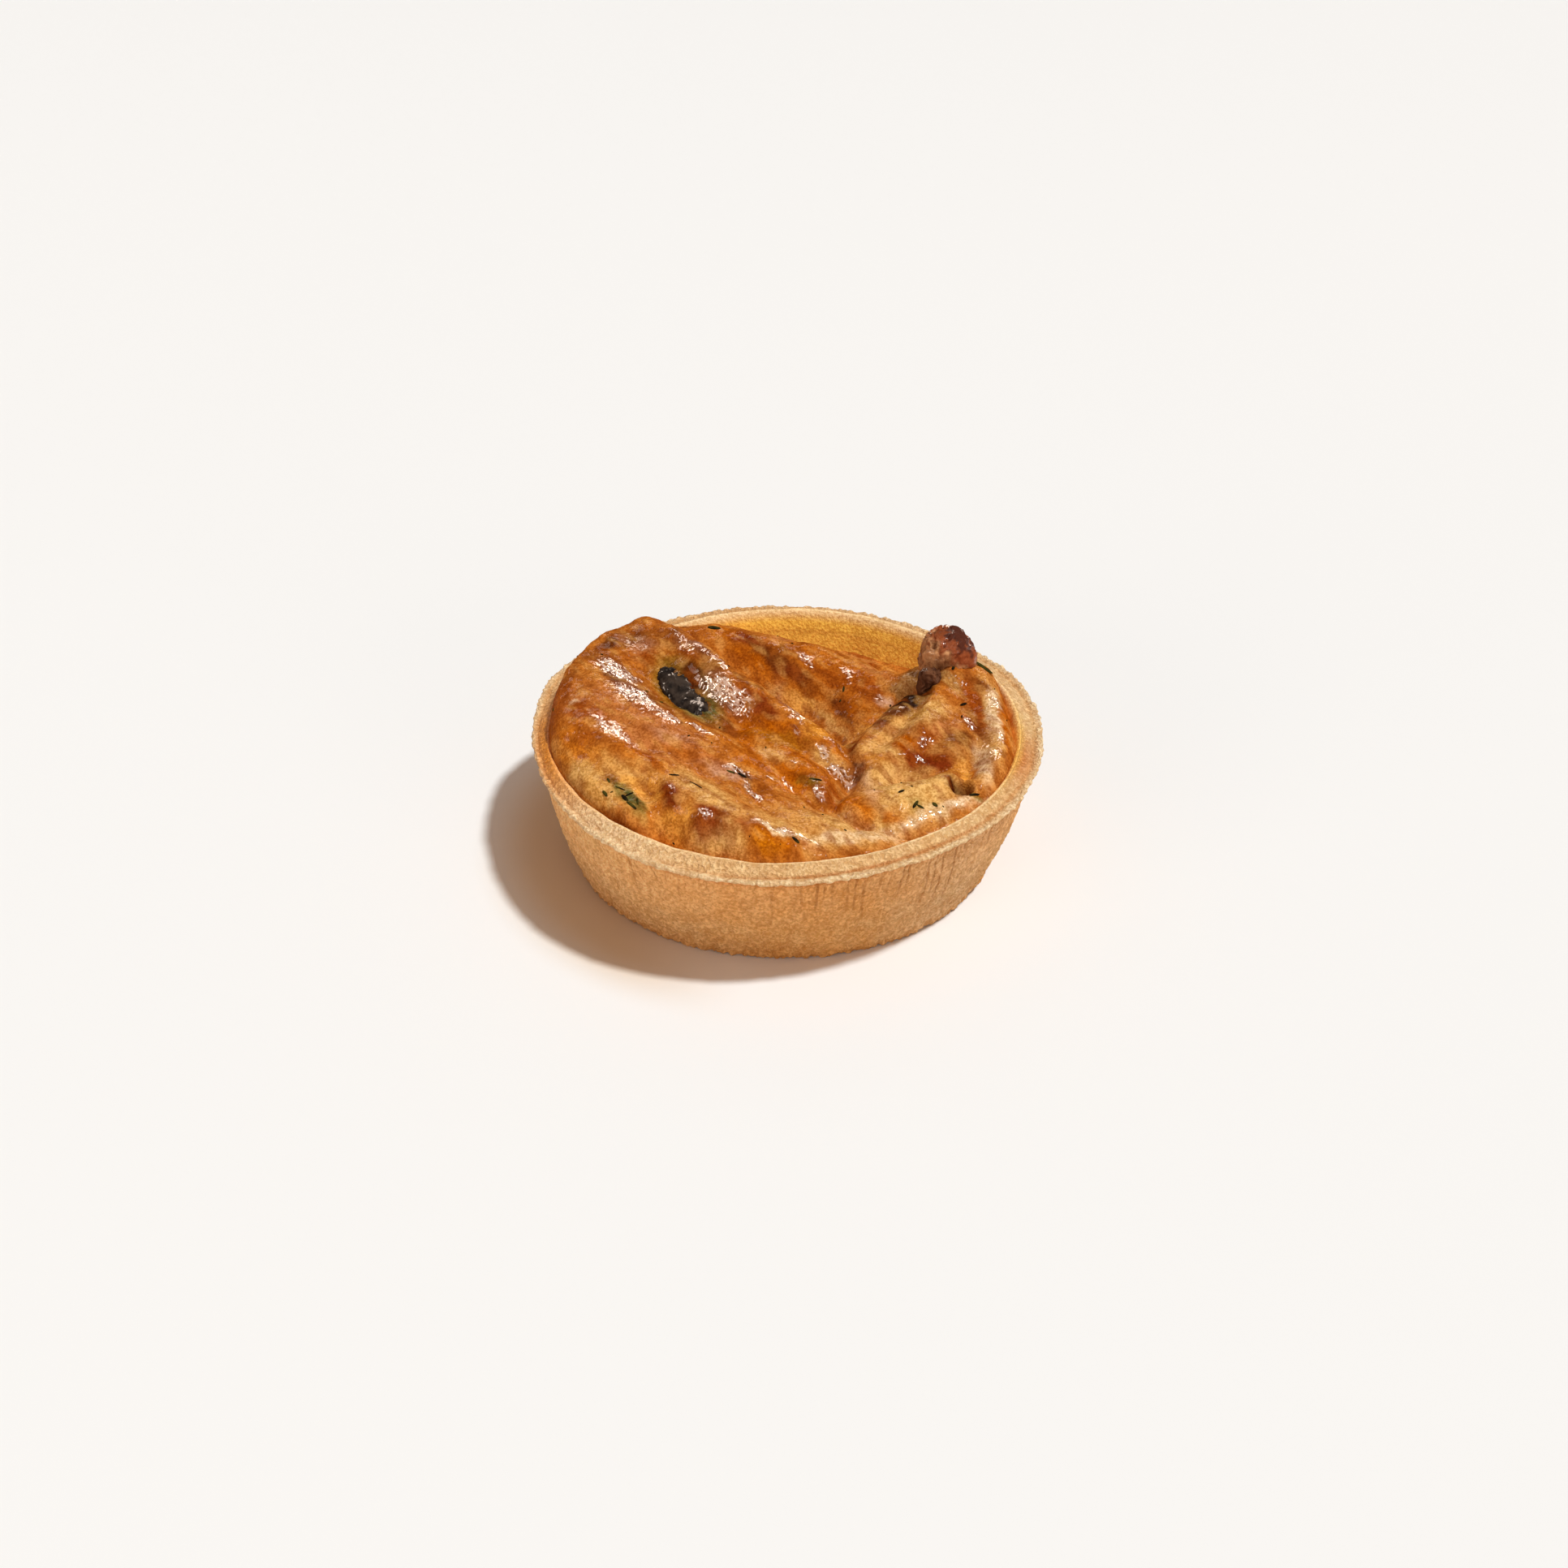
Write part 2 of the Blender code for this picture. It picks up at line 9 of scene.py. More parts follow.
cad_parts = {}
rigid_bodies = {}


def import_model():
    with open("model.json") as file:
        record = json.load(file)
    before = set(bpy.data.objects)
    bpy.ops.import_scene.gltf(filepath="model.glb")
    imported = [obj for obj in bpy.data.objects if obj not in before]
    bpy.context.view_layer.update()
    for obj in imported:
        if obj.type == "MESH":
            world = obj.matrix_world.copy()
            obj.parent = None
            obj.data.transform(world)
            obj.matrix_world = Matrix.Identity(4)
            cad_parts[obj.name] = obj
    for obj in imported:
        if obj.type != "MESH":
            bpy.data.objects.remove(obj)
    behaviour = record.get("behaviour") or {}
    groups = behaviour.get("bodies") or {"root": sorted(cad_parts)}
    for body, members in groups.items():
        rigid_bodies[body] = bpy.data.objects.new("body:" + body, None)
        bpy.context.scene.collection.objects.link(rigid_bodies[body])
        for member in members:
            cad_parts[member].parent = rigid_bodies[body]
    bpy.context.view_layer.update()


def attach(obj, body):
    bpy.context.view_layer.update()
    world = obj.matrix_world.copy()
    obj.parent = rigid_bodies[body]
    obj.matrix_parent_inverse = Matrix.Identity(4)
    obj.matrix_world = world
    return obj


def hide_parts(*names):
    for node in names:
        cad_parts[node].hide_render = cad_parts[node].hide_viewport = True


for leftover in list(bpy.data.objects):
    bpy.data.objects.remove(leftover)
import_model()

# ---- pastry case ----
# Shortcrust pressed into a thin foil mould and baked. It keeps the foil's creases in its wall,
# a crumbly outer edge where the dough was trimmed, and a shallow groove round the top of the rim.
# The wall and rim are swept round from one outline, and the creases and crumb are nodes on top.

MM = 0.001  # one millimetre in metres
RIM_RADIUS = 37.5
RIM_HEIGHT = 18.2
LIP_RADIUS = 33.8
LIP_RISE = 1.0
BASE_RADIUS = 30.4
HEEL_RADIUS = 31.5
HEEL_HEIGHT = 1.9
BELLY = 0.6
FLOOR_THICKNESS = 3.6
WALL_LEAN = 0.4
CASE_STATIONS = 880


def screen(red, green, blue):
    """A colour as a screen shows it, 0 to 255, in the linear values that shaders take."""
    shares = np.array([red, green, blue]) / 255.0
    return np.where(shares <= 0.04045, shares / 12.92, ((shares + 0.055) / 1.055) ** 2.4)


def round_the_case(knots, angle):
    """A smooth closed run through (degrees, value) knots, read at angles in radians."""
    turn = np.degrees(angle) % 360
    knots = np.array(knots, float)
    count = len(knots)
    i = np.searchsorted(knots[:, 0], turn, side="right") - 1
    start, end = knots[i, 0], np.where(i == count - 1, 360.0, knots[(i + 1) % count, 0])
    t = (turn - start) / (end - start)
    before, here, there, after = (knots[(i + k) % count, 1] for k in (-1, 0, 1, 2))
    cubic = 3 * (here - there) + after - before
    square = 2 * before - 5 * here + 4 * there - after
    return here + 0.5 * t * (there - before + t * (square + t * cubic))


def rim_tilt(angle):
    return 0.5 * np.sin(angle) + 0.1 * np.cos(2 * angle) + 0.18 * np.sin(5 * angle + 0.8)


# How far the outer edge strays from a true circle, round from the right-hand side: the left is trimmed close
RIM_BULGES = (
    (0, 0.2), (25, 0.5), (45, 0.1), (75, -0.35), (105, 0.1), (130, 0.35), (157, 0.6),
    (177, -0.7), (200, -1.2), (222, -0.35), (245, 0.3), (270, 0.15), (300, -0.2), (330, -0.1),
)


def rim_bulge(angle):
    return round_the_case(RIM_BULGES, angle)


def lip_height(angle):
    return RIM_HEIGHT + LIP_RISE + rim_tilt(angle)


def cavity_radius(z, lip):
    """Radius of the hollow inside the case at height z."""
    return LIP_RADIUS - WALL_LEAN * np.maximum(lip - z, 0.0)


def curve_weights(steps_between):
    """For each point wanted on a Catmull-Rom curve: which four knots make it, and how much of each."""
    count = len(steps_between) + 1
    rows = []
    for i, steps in enumerate(steps_between):
        for t in np.arange(steps) / steps:
            row = np.zeros(count)
            shares = (-t + 2 * t**2 - t**3, 2 - 5 * t**2 + 3 * t**3, t + 4 * t**2 - 3 * t**3, -(t**2) + t**3)
            for offset, share in zip((-1, 0, 1, 2), shares):
                row[min(max(i + offset, 0), count - 1)] += share / 2
            rows.append(row)
    rows.append(np.eye(count)[-1])
    return np.array(rows)


def mesh_piece(name, points, faces):
    """An object from points in millimetres and faces, a list of corner lists of one length each."""
    mesh = bpy.data.meshes.new(name)
    mesh.from_pydata((np.asarray(points) * MM).tolist(), [], faces)
    mesh.update()
    piece = bpy.data.objects.new(name, mesh)
    bpy.context.scene.collection.objects.link(piece)
    return piece


def add_values(piece, name, values):
    """Stores one number per point, for the nodes and the material to read."""
    layer = piece.data.attributes.new(name, "FLOAT", "POINT")
    layer.data.foreach_set("value", np.ascontiguousarray(values, np.float32))


def add_colours(piece, name, colours):
    """Stores one colour per point."""
    layer = piece.data.attributes.new(name, "FLOAT_COLOR", "POINT")
    rgba = np.ones((len(colours), 4), np.float32)
    rgba[:, :3] = np.clip(colours, 0.0, 1.0)
    layer.data.foreach_set("color", rgba.ravel())


def soft_noise(points, scale, seed):
    """Smooth noise between about -1 and 1 whose lumps are about scale across."""
    shift = Vector((seed, seed * 1.7, seed * 0.3))
    return np.array([noise.noise(Vector(p) / scale + shift) for p in points])


def falloff(distance):
    t = np.clip(1.0 - distance, 0.0, 1.0)
    return t * t * (3.0 - 2.0 * t)


def put(tree, kind, sockets=None, **settings):
    """Adds a node, with its settings, and sets or links its sockets."""
    node = tree.nodes.new(kind)
    for name, value in settings.items():
        setattr(node, name, value)
    for key, value in (sockets or {}).items():
        if isinstance(value, bpy.types.NodeSocket):
            tree.links.new(value, node.inputs[key])
        else:
            node.inputs[key].default_value = value
    return node


def maths(tree, operation, *terms):
    """The output of a Math node."""
    return put(tree, "ShaderNodeMath", dict(enumerate(terms)), operation=operation).outputs[0]


def ramp(tree, value, low, high, start=0.0, end=1.0):
    """value taken smoothly from low..high to start..end, and held outside."""
    node = put(
        tree, "ShaderNodeMapRange", {"Value": value, "From Min": low, "From Max": high, "To Min": start, "To Max": end},
        interpolation_type="SMOOTHSTEP",
    )
    return node.outputs["Result"]


def grain(tree, place, size_mm, detail=2.0, roughness=0.5):
    """Noise from 0 to 1 whose lumps are about size_mm across."""
    sockets = {"Vector": place, "Scale": 0.6 / (size_mm * MM), "Detail": detail, "Roughness": roughness}
    return put(tree, "ShaderNodeTexNoise", sockets).outputs[0]


def new_tree(name, inputs):
    """A Geometry Nodes tree with a geometry in and out, and the named inputs."""
    tree = bpy.data.node_groups.new(name, "GeometryNodeTree")
    tree.interface.new_socket("Geometry", in_out="INPUT", socket_type="NodeSocketGeometry")
    tree.interface.new_socket("Geometry", in_out="OUTPUT", socket_type="NodeSocketGeometry")
    for label, kind in inputs:
        tree.interface.new_socket(label, in_out="INPUT", socket_type=kind)
    return tree, put(tree, "NodeGroupInput").outputs, put(tree, "NodeGroupOutput").inputs


def finish_tree(tree, geometry, material, out):
    """Realizes the instances and gives them their material."""
    real = put(tree, "GeometryNodeRealizeInstances", {0: geometry}).outputs[0]
    tree.links.new(put(tree, "GeometryNodeSetMaterial", {"Geometry": real, "Material": material}).outputs[0], out[0])


def run_tree(piece, tree, **values):
    """Runs a tree on a piece with the named values, and keeps its result as a plain mesh."""
    modifier = piece.modifiers.new(tree.name, "NODES")
    modifier.node_group = tree
    for item in tree.interface.items_tree:
        key = item.name.replace(" ", "_").lower()
        if item.in_out == "INPUT" and key in values:
            modifier[item.identifier] = values[key]
    bpy.context.view_layer.update()
    graph = bpy.context.evaluated_depsgraph_get()
    result = bpy.data.meshes.new_from_object(piece.evaluated_get(graph), preserve_all_data_layers=True, depsgraph=graph)
    piece.modifiers.clear()
    piece.data = result
    piece.data.shade_smooth()


def case_knots(angle):
    """(radius, height) of the outline at each angle, from the base up the wall, over the rim and in."""
    edge_z = RIM_HEIGHT + rim_tilt(angle)
    lip_z = lip_height(angle)
    edge_r = RIM_RADIUS + rim_bulge(angle)
    ledge = edge_r - LIP_RADIUS - 0.75  # from the raised band to the outer edge
    flat = np.zeros_like(angle)
    knots = [(flat, flat), (flat + 24.0, flat), (flat + BASE_RADIUS - 0.3, flat), (flat + HEEL_RADIUS - 0.5, flat + 0.5)]
    knots.append((flat + HEEL_RADIUS, flat + HEEL_HEIGHT))
    for share in (0.25, 0.5, 0.75, 0.93):
        belly = BELLY * math.sin(math.pi * share)
        knots.append(
            (HEEL_RADIUS + share * (edge_r - 0.75 - HEEL_RADIUS) + belly, HEEL_HEIGHT + share * (edge_z - HEEL_HEIGHT))
        )
    knots += [
        (edge_r - 0.65, edge_z - 0.8),
        (edge_r, edge_z - 0.4),
        (edge_r - 0.15, edge_z + 0.12),
        (edge_r - 0.27 * ledge, edge_z + 0.05),
        (edge_r - 0.42 * ledge, edge_z - 0.05),
        (edge_r - 0.56 * ledge, edge_z + 0.3),
        (edge_r - 0.82 * ledge, edge_z + 0.75),
        (flat + LIP_RADIUS + 0.6, lip_z + 0.05),
        (flat + LIP_RADIUS + 0.05, lip_z - 0.25),
        (cavity_radius(lip_z - 2.0, lip_z), lip_z - 2.0),
        (cavity_radius(lip_z - 5.0, lip_z), lip_z - 5.0),
        (cavity_radius(lip_z - 9.0, lip_z), lip_z - 9.0),
        (cavity_radius(FLOOR_THICKNESS + 1.3, lip_z), flat + FLOOR_THICKNESS + 1.3),
        (cavity_radius(FLOOR_THICKNESS + 1.3, lip_z) - 1.8, flat + FLOOR_THICKNESS),
        (flat, flat + FLOOR_THICKNESS),
    ]
    return knots


CASE_STEPS = (1, 2, 3, 4, 13, 13, 12, 9, 4, 3, 3, 3, 3, 3, 4, 5, 3, 5, 6, 4, 1, 1, 1)
case_angles = 2 * math.pi * np.arange(CASE_STATIONS) / CASE_STATIONS
case_knot_values = np.array(case_knots(case_angles))  # knot, radius or height, station
case_rows = np.einsum("rk,kcs->src", curve_weights(CASE_STEPS), case_knot_values)
case_rows[:, 0] = (0.0, 0.0)
case_rows[:, -1] = (0.0, FLOOR_THICKNESS)
case_radius, case_z = case_rows[:, 1:-1, 0], case_rows[:, 1:-1, 1]
row_count = case_radius.shape[1]
case_points = np.stack(
    [case_radius * np.cos(case_angles)[:, None], case_radius * np.sin(case_angles)[:, None], case_z], -1
).reshape(-1, 3)
stations, rows = np.meshgrid(np.arange(CASE_STATIONS), np.arange(row_count - 1), indexing="ij")
following = (stations + 1) % CASE_STATIONS
case_faces = np.stack(
    [stations * row_count + rows, following * row_count + rows, following * row_count + rows + 1,
     stations * row_count + rows + 1], -1
).reshape(-1, 4).tolist()
case_faces.append([int(i) * row_count for i in range(CASE_STATIONS)][::-1])
case_faces.append([int(i) * row_count + row_count - 1 for i in range(CASE_STATIONS)])
case = mesh_piece("baked_pastry_case", case_points, case_faces)

# Places on the outline, as shares of the way over each part
case_turn = np.degrees(np.repeat(case_angles, row_count)) % 360
tall = case_z.ravel()
reach = np.hypot(case_points[:, 0], case_points[:, 1])
rim_r = RIM_RADIUS + rim_bulge(np.radians(case_turn))
rim_z = RIM_HEIGHT + rim_tilt(np.radians(case_turn))
outward = reach - rim_r  # 0 at the outer edge, negative inwards
row_index = np.tile(np.arange(row_count), CASE_STATIONS)
first_rim_row = 1 + 2 + 3 + 4 + 13 + 13 + 12 + 9 - 1
on_wall = (row_index < first_rim_row + 3).astype(float)
inner_wall = (row_index > row_count - 22).astype(float)
edge_mask = falloff(np.hypot(outward + 0.2, tall - rim_z) / 0.9)
groove_mask = falloff(np.abs(outward + 1.25) / 0.45) * (1 - on_wall)


def turn_patch(middle, half_width):
    """1 at an angle round the case, in degrees, and 0 from half_width away."""
    away = np.abs((case_turn - middle + 180) % 360 - 180)
    return falloff(away / half_width)


CRUST_TAN = screen(232, 178, 116)
CRUST_PALE = screen(246, 208, 154)
CRUST_GOLD = screen(222, 156, 84)
CRUST_AMBER = screen(255, 200, 82)
CRUST_BROWN = screen(186, 96, 38)
# Pale floury crust, also used as painted light on the shaded left front.
CRUST_FLOUR_AND_LIGHT = screen(255, 226, 182)


def mix(colours, tint, share):
    share = np.clip(share, 0.0, 1.0)[:, None]
    return colours * (1 - share) + tint * share


broad = soft_noise(case_points, 9.0, 2.0)
middle = soft_noise(case_points, 3.0, 5.0)
case_colour = np.tile(CRUST_TAN, (len(case_points), 1))
case_colour = mix(case_colour, CRUST_GOLD, on_wall * (0.45 + 0.5 * broad) * falloff((tall - 4) / 18))
case_colour = mix(case_colour, CRUST_PALE, 0.6 + 0.4 * middle - 0.5 * on_wall)
# Painted shade: the colour darkens in the groove round the rim, and more along its outer side at the front right.
case_colour = mix(case_colour, CRUST_GOLD, groove_mask * 0.35)
case_colour = mix(case_colour, CRUST_BROWN, falloff(np.abs(outward + 1.3) / 0.3) * (1 - on_wall) * turn_patch(290, 75) * 0.55)
case_colour = mix(case_colour, CRUST_FLOUR_AND_LIGHT, edge_mask * (0.7 + 0.5 * middle))
# Painted light: the wall and rim at the left front, which lie in shade, are painted paler.
case_colour = mix(case_colour, screen(255, 206, 146), (0.55 * on_wall + 0.8 * (1 - on_wall)) * turn_patch(218, 55))
case_colour = mix(case_colour, CRUST_FLOUR_AND_LIGHT, 0.6 * (1 - on_wall) * turn_patch(224, 34))
case_colour = mix(case_colour, CRUST_GOLD, 0.4 * on_wall * turn_patch(272, 32))
case_colour = mix(case_colour, CRUST_GOLD, 0.35 * (1 - on_wall) * turn_patch(95, 60))
case_colour = mix(case_colour, screen(236, 196, 150), 0.6 * on_wall * turn_patch(315, 30))
case_colour = mix(case_colour, CRUST_AMBER, inner_wall * 0.95)
case_colour = mix(case_colour, CRUST_PALE, inner_wall * falloff(np.abs(lip_height(np.radians(case_turn)) - tall) / 1.6))
# Painted shade: a thin brown line 3 mm under the lip on the inner wall at the back, standing for the shadow under a
# small step.
under_lip = np.abs(lip_height(np.radians(case_turn)) - 3.0 - tall)
case_colour = mix(case_colour, CRUST_BROWN, 0.35 * inner_wall * falloff(under_lip / 0.5) * turn_patch(75, 60))
case_colour = mix(case_colour, screen(214, 124, 56), 0.85 * turn_patch(346, 15) * falloff(np.abs(outward + 2.5) / 2.3) * (1 - on_wall))
on_lip = (1 - on_wall) * falloff(np.abs(reach - LIP_RADIUS - 0.1) / 1.6)
# Partly egg stain, partly painted light: the rim at the left, in the shade of the dome, is painted a brighter orange.
case_colour = mix(case_colour, screen(240, 150, 46), falloff(np.abs(reach - 34.8) / 2.1) * (1 - on_wall) * turn_patch(190, 40))
case_colour = mix(case_colour, CRUST_AMBER, on_lip * turn_patch(350, 30) * 0.8)
case_colour = mix(case_colour, CRUST_GOLD, on_wall * falloff(tall / 2.2) * 0.5)
# Painted shadow: a brown band on the wall just under the rim's overhanging edge.
case_colour = mix(case_colour, CRUST_BROWN, on_wall * falloff(np.abs(rim_z - 1.2 - tall) / 0.5) * 0.4)
high_wall = on_wall * np.clip((tall - 6) / 8, 0.0, 1.0)
case_colour = case_colour * (1 + high_wall[:, None] * (0.15, 0.05, -0.03))
add_colours(case, "bake", case_colour)
low_wall = on_wall * falloff(tall / 13)
add_values(case, "crumbly", 0.35 + 0.25 * on_wall + 0.7 * edge_mask + 0.5 * low_wall - 0.25 * inner_wall)
add_values(case, "smooth", inner_wall)
creased = 0.3 + 0.7 * np.maximum(turn_patch(290, 85), turn_patch(250, 40) * 0.8)
under_rim = np.clip((rim_z - 0.7 - tall) / 0.5, 0.0, 1.0)
add_values(case, "creased", creased * on_wall * under_rim * np.clip((tall - 2) / 3, 0.0, 1.0))

# The nodes: uneven creases run down from the rim, and crumb covers everything


def foil_creases(tree, place, width_mm):
    """1 along the foil's creases, which start under the rim and end at chance heights, and 0 between them."""
    part = put(tree, "ShaderNodeSeparateXYZ", {0: place}).outputs
    wander = maths(tree, "MULTIPLY", maths(tree, "SUBTRACT", grain(tree, place, 4.0), 0.5), 0.06)
    turn = maths(tree, "MULTIPLY", maths(tree, "ADD", maths(tree, "ARCTAN2", part[1], part[0]), wander), 32.0)
    cells = put(tree, "ShaderNodeTexVoronoi", {"W": turn, "Scale": 1.0, "Randomness": 1.0}, voronoi_dimensions="1D")
    chance = put(tree, "ShaderNodeSeparateXYZ", {0: cells.outputs["Color"]}).outputs
    line = ramp(tree, cells.outputs["Distance"], 0.2 * width_mm / 1.13, width_mm / 1.13, 1.0, 0.0)
    foot = maths(tree, "SUBTRACT", 0.0165, maths(tree, "MULTIPLY", maths(tree, "POWER", chance[0], 2.2), 0.0125))
    length = ramp(tree, part[2], maths(tree, "SUBTRACT", foot, 0.0015), maths(tree, "ADD", foot, 0.0015))
    return maths(tree, "MULTIPLY", maths(tree, "MULTIPLY", line, length), maths(tree, "POWER", chance[1], 0.7))


def crumbs(tree, place, size_mm):
    """1 in the middle of each crumb and 0 in the gaps between crumbs of about size_mm."""
    shake = put(tree, "ShaderNodeTexNoise", {"Vector": place, "Scale": 0.9 / (size_mm * MM), "Detail": 1.0}).outputs["Color"]
    shake = put(tree, "ShaderNodeVectorMath", {0: shake, "Scale": 0.9 * size_mm * MM}, operation="SCALE").outputs[0]
    shaken = put(tree, "ShaderNodeVectorMath", {0: place, 1: shake}, operation="ADD").outputs[0]
    cells = put(tree, "ShaderNodeTexVoronoi", {"Vector": shaken, "Scale": 1.0 / (size_mm * MM)})
    return ramp(tree, cells.outputs["Distance"], 0.15, 0.75, 1.0, 0.0)


def stored(tree, name):
    """A named value that the mesh carries."""
    return put(tree, "GeometryNodeInputNamedAttribute", {"Name": name}, data_type="FLOAT").outputs[0]


def push_out(tree, geometry, place, rise):
    """Moves the surface out along its normals, and never below the table."""
    normal = put(tree, "GeometryNodeInputNormal").outputs[0]
    offset = put(tree, "ShaderNodeVectorMath", {0: normal, "Scale": rise}, operation="SCALE").outputs[0]
    moved = put(tree, "ShaderNodeVectorMath", {0: place, 1: offset}, operation="ADD").outputs[0]
    part = put(tree, "ShaderNodeSeparateXYZ", {0: moved}).outputs
    clear = put(tree, "ShaderNodeCombineXYZ", {0: part[0], 1: part[1], 2: maths(tree, "MAXIMUM", part[2], 0.0)}).outputs[0]
    return put(tree, "GeometryNodeSetPosition", {"Geometry": geometry, "Position": clear}).outputs[0]


relief, given, result = new_tree("pressed_shortcrust", [
    ("Crease Depth", "NodeSocketFloat"), ("Crumb Depth", "NodeSocketFloat"), ("Lump Depth", "NodeSocketFloat"),
    ("Material", "NodeSocketMaterial"),
])
place = put(relief, "GeometryNodeInputPosition").outputs[0]
crease = maths(relief, "MULTIPLY", foil_creases(relief, place, 0.36), stored(relief, "creased"))
grains = maths(relief, "ADD", maths(relief, "MULTIPLY", crumbs(relief, place, 0.85), 0.65),
               maths(relief, "MULTIPLY", crumbs(relief, place, 1.7), 0.35))
grains = maths(relief, "SUBTRACT", grains, 0.5)
lumps = maths(relief, "SUBTRACT", grain(relief, place, 4.0, 2.0), 0.5)
rise = maths(relief, "MULTIPLY", maths(relief, "MULTIPLY", grains, given["Crumb Depth"]), stored(relief, "crumbly"))
rise = maths(relief, "ADD", rise, maths(relief, "MULTIPLY", lumps, given["Lump Depth"]))
rise = maths(relief, "SUBTRACT", rise, maths(relief, "MULTIPLY", crease, given["Crease Depth"]))
moved = push_out(relief, given["Geometry"], place, rise)
kept = put(
    relief, "GeometryNodeStoreNamedAttribute", {"Geometry": moved, "Name": "grains", "Value": grains}, data_type="FLOAT"
).outputs[0]
finish_tree(relief, kept, given["Material"], result)


def new_material(name):
    """A material with nodes: its tree, its Principled shader and its object coordinates."""
    material = bpy.data.materials.new(name)
    material.use_nodes = True
    tree = material.node_tree
    return material, tree, tree.nodes["Principled BSDF"], put(tree, "ShaderNodeTexCoord").outputs["Object"]


def carried(tree, name, colour=False):
    """A value or colour that the mesh carries, read in a material."""
    return put(tree, "ShaderNodeAttribute", attribute_name=name).outputs["Color" if colour else "Fac"]


def blend_colour(tree, share, first, second, blend_type="MIX"):
    node = put(tree, "ShaderNodeMix", {0: share, 6: first, 7: second}, data_type="RGBA", blend_type=blend_type)
    return node.outputs[2]


crust, shade, skin, spot = new_material("shortcrust")
fine_crumb = ramp(shade, grain(shade, spot, 0.26, 3.0, 0.6), 0.3, 0.7)
# Painted shade: deep is 1 in the low gaps between crumbs, and darkens the colour there, less on the smooth inner wall.
deep = ramp(shade, carried(shade, "grains"), -0.4, 0.1, 1.0, 0.0)
dust = maths(shade, "ADD", maths(shade, "MULTIPLY", fine_crumb, 0.55), maths(shade, "MULTIPLY", grain(shade, spot, 0.9, 3.0), 0.55))
tone = blend_colour(shade, ramp(shade, dust, 0.3, 0.8), (0.9, 0.82, 0.7, 1), (1.19, 1.22, 1.25, 1))
colour = blend_colour(shade, 1.0, carried(shade, "bake", True), tone, "MULTIPLY")
deep = maths(shade, "MULTIPLY", deep, maths(shade, "SUBTRACT", 1.0, carried(shade, "smooth")))
colour = blend_colour(shade, maths(shade, "MULTIPLY", deep, 0.3), colour, (*screen(190, 118, 54), 1))
# Painted shade: the colour darkens along the foil creases.
lines = maths(shade, "MULTIPLY", foil_creases(shade, spot, 0.26), carried(shade, "creased"))
colour = blend_colour(shade, maths(shade, "MULTIPLY", lines, 0.6), colour, (*screen(188, 114, 52), 1))
shade.links.new(colour, skin.inputs["Base Color"])
shade.links.new(ramp(shade, dust, 0.2, 0.8, 0.85, 0.6), skin.inputs["Roughness"])
skin.inputs["Specular IOR Level"].default_value = 0.08
fine = maths(shade, "ADD", fine_crumb, maths(shade, "MULTIPLY", crumbs(shade, spot, 0.5), 0.35))
fine = maths(shade, "SUBTRACT", fine, lines)
fine = maths(shade, "MULTIPLY", fine, maths(shade, "SUBTRACT", 1.0, maths(shade, "MULTIPLY", carried(shade, "smooth"), 0.7)))
shade.links.new(
    put(shade, "ShaderNodeBump", {"Height": fine, "Strength": 1.0, "Distance": 0.22 * MM}).outputs[0], skin.inputs["Normal"]
)

run_tree(case, relief, crease_depth=0.14 * MM, crumb_depth=0.45 * MM, lump_depth=0.6 * MM, material=crust)
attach(case, "root")
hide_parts("pastry_case")

# ---- egg custard ----
# Egg and cheese custard, poured in raw. It puffed in the oven, then sank into folds that run from
# the back left to the front right, browned on their tops and glossy with fat. Its height is worked
# out from the folds, pits and creases named here, and fine wrinkles are nodes on top.

GAP = -0.25  # the custard runs on under the pastry lip, with no gap to see
FOLD_FALL = 4.0  # a fold falls by this much at its left and right reach
BLEND = 0.3
SOFTNESS = 0.8  # the folds are rounded off over this distance
HOLLOW_FLOOR = 14.4
EDGE_ROLL = 1.5
CUSTARD_RINGS = 168

Fold = namedtuple("Fold", "name left right spine")
Pit = namedtuple("Pit", "x y radius depth")
Groove = namedtuple("Groove", "width depth path")

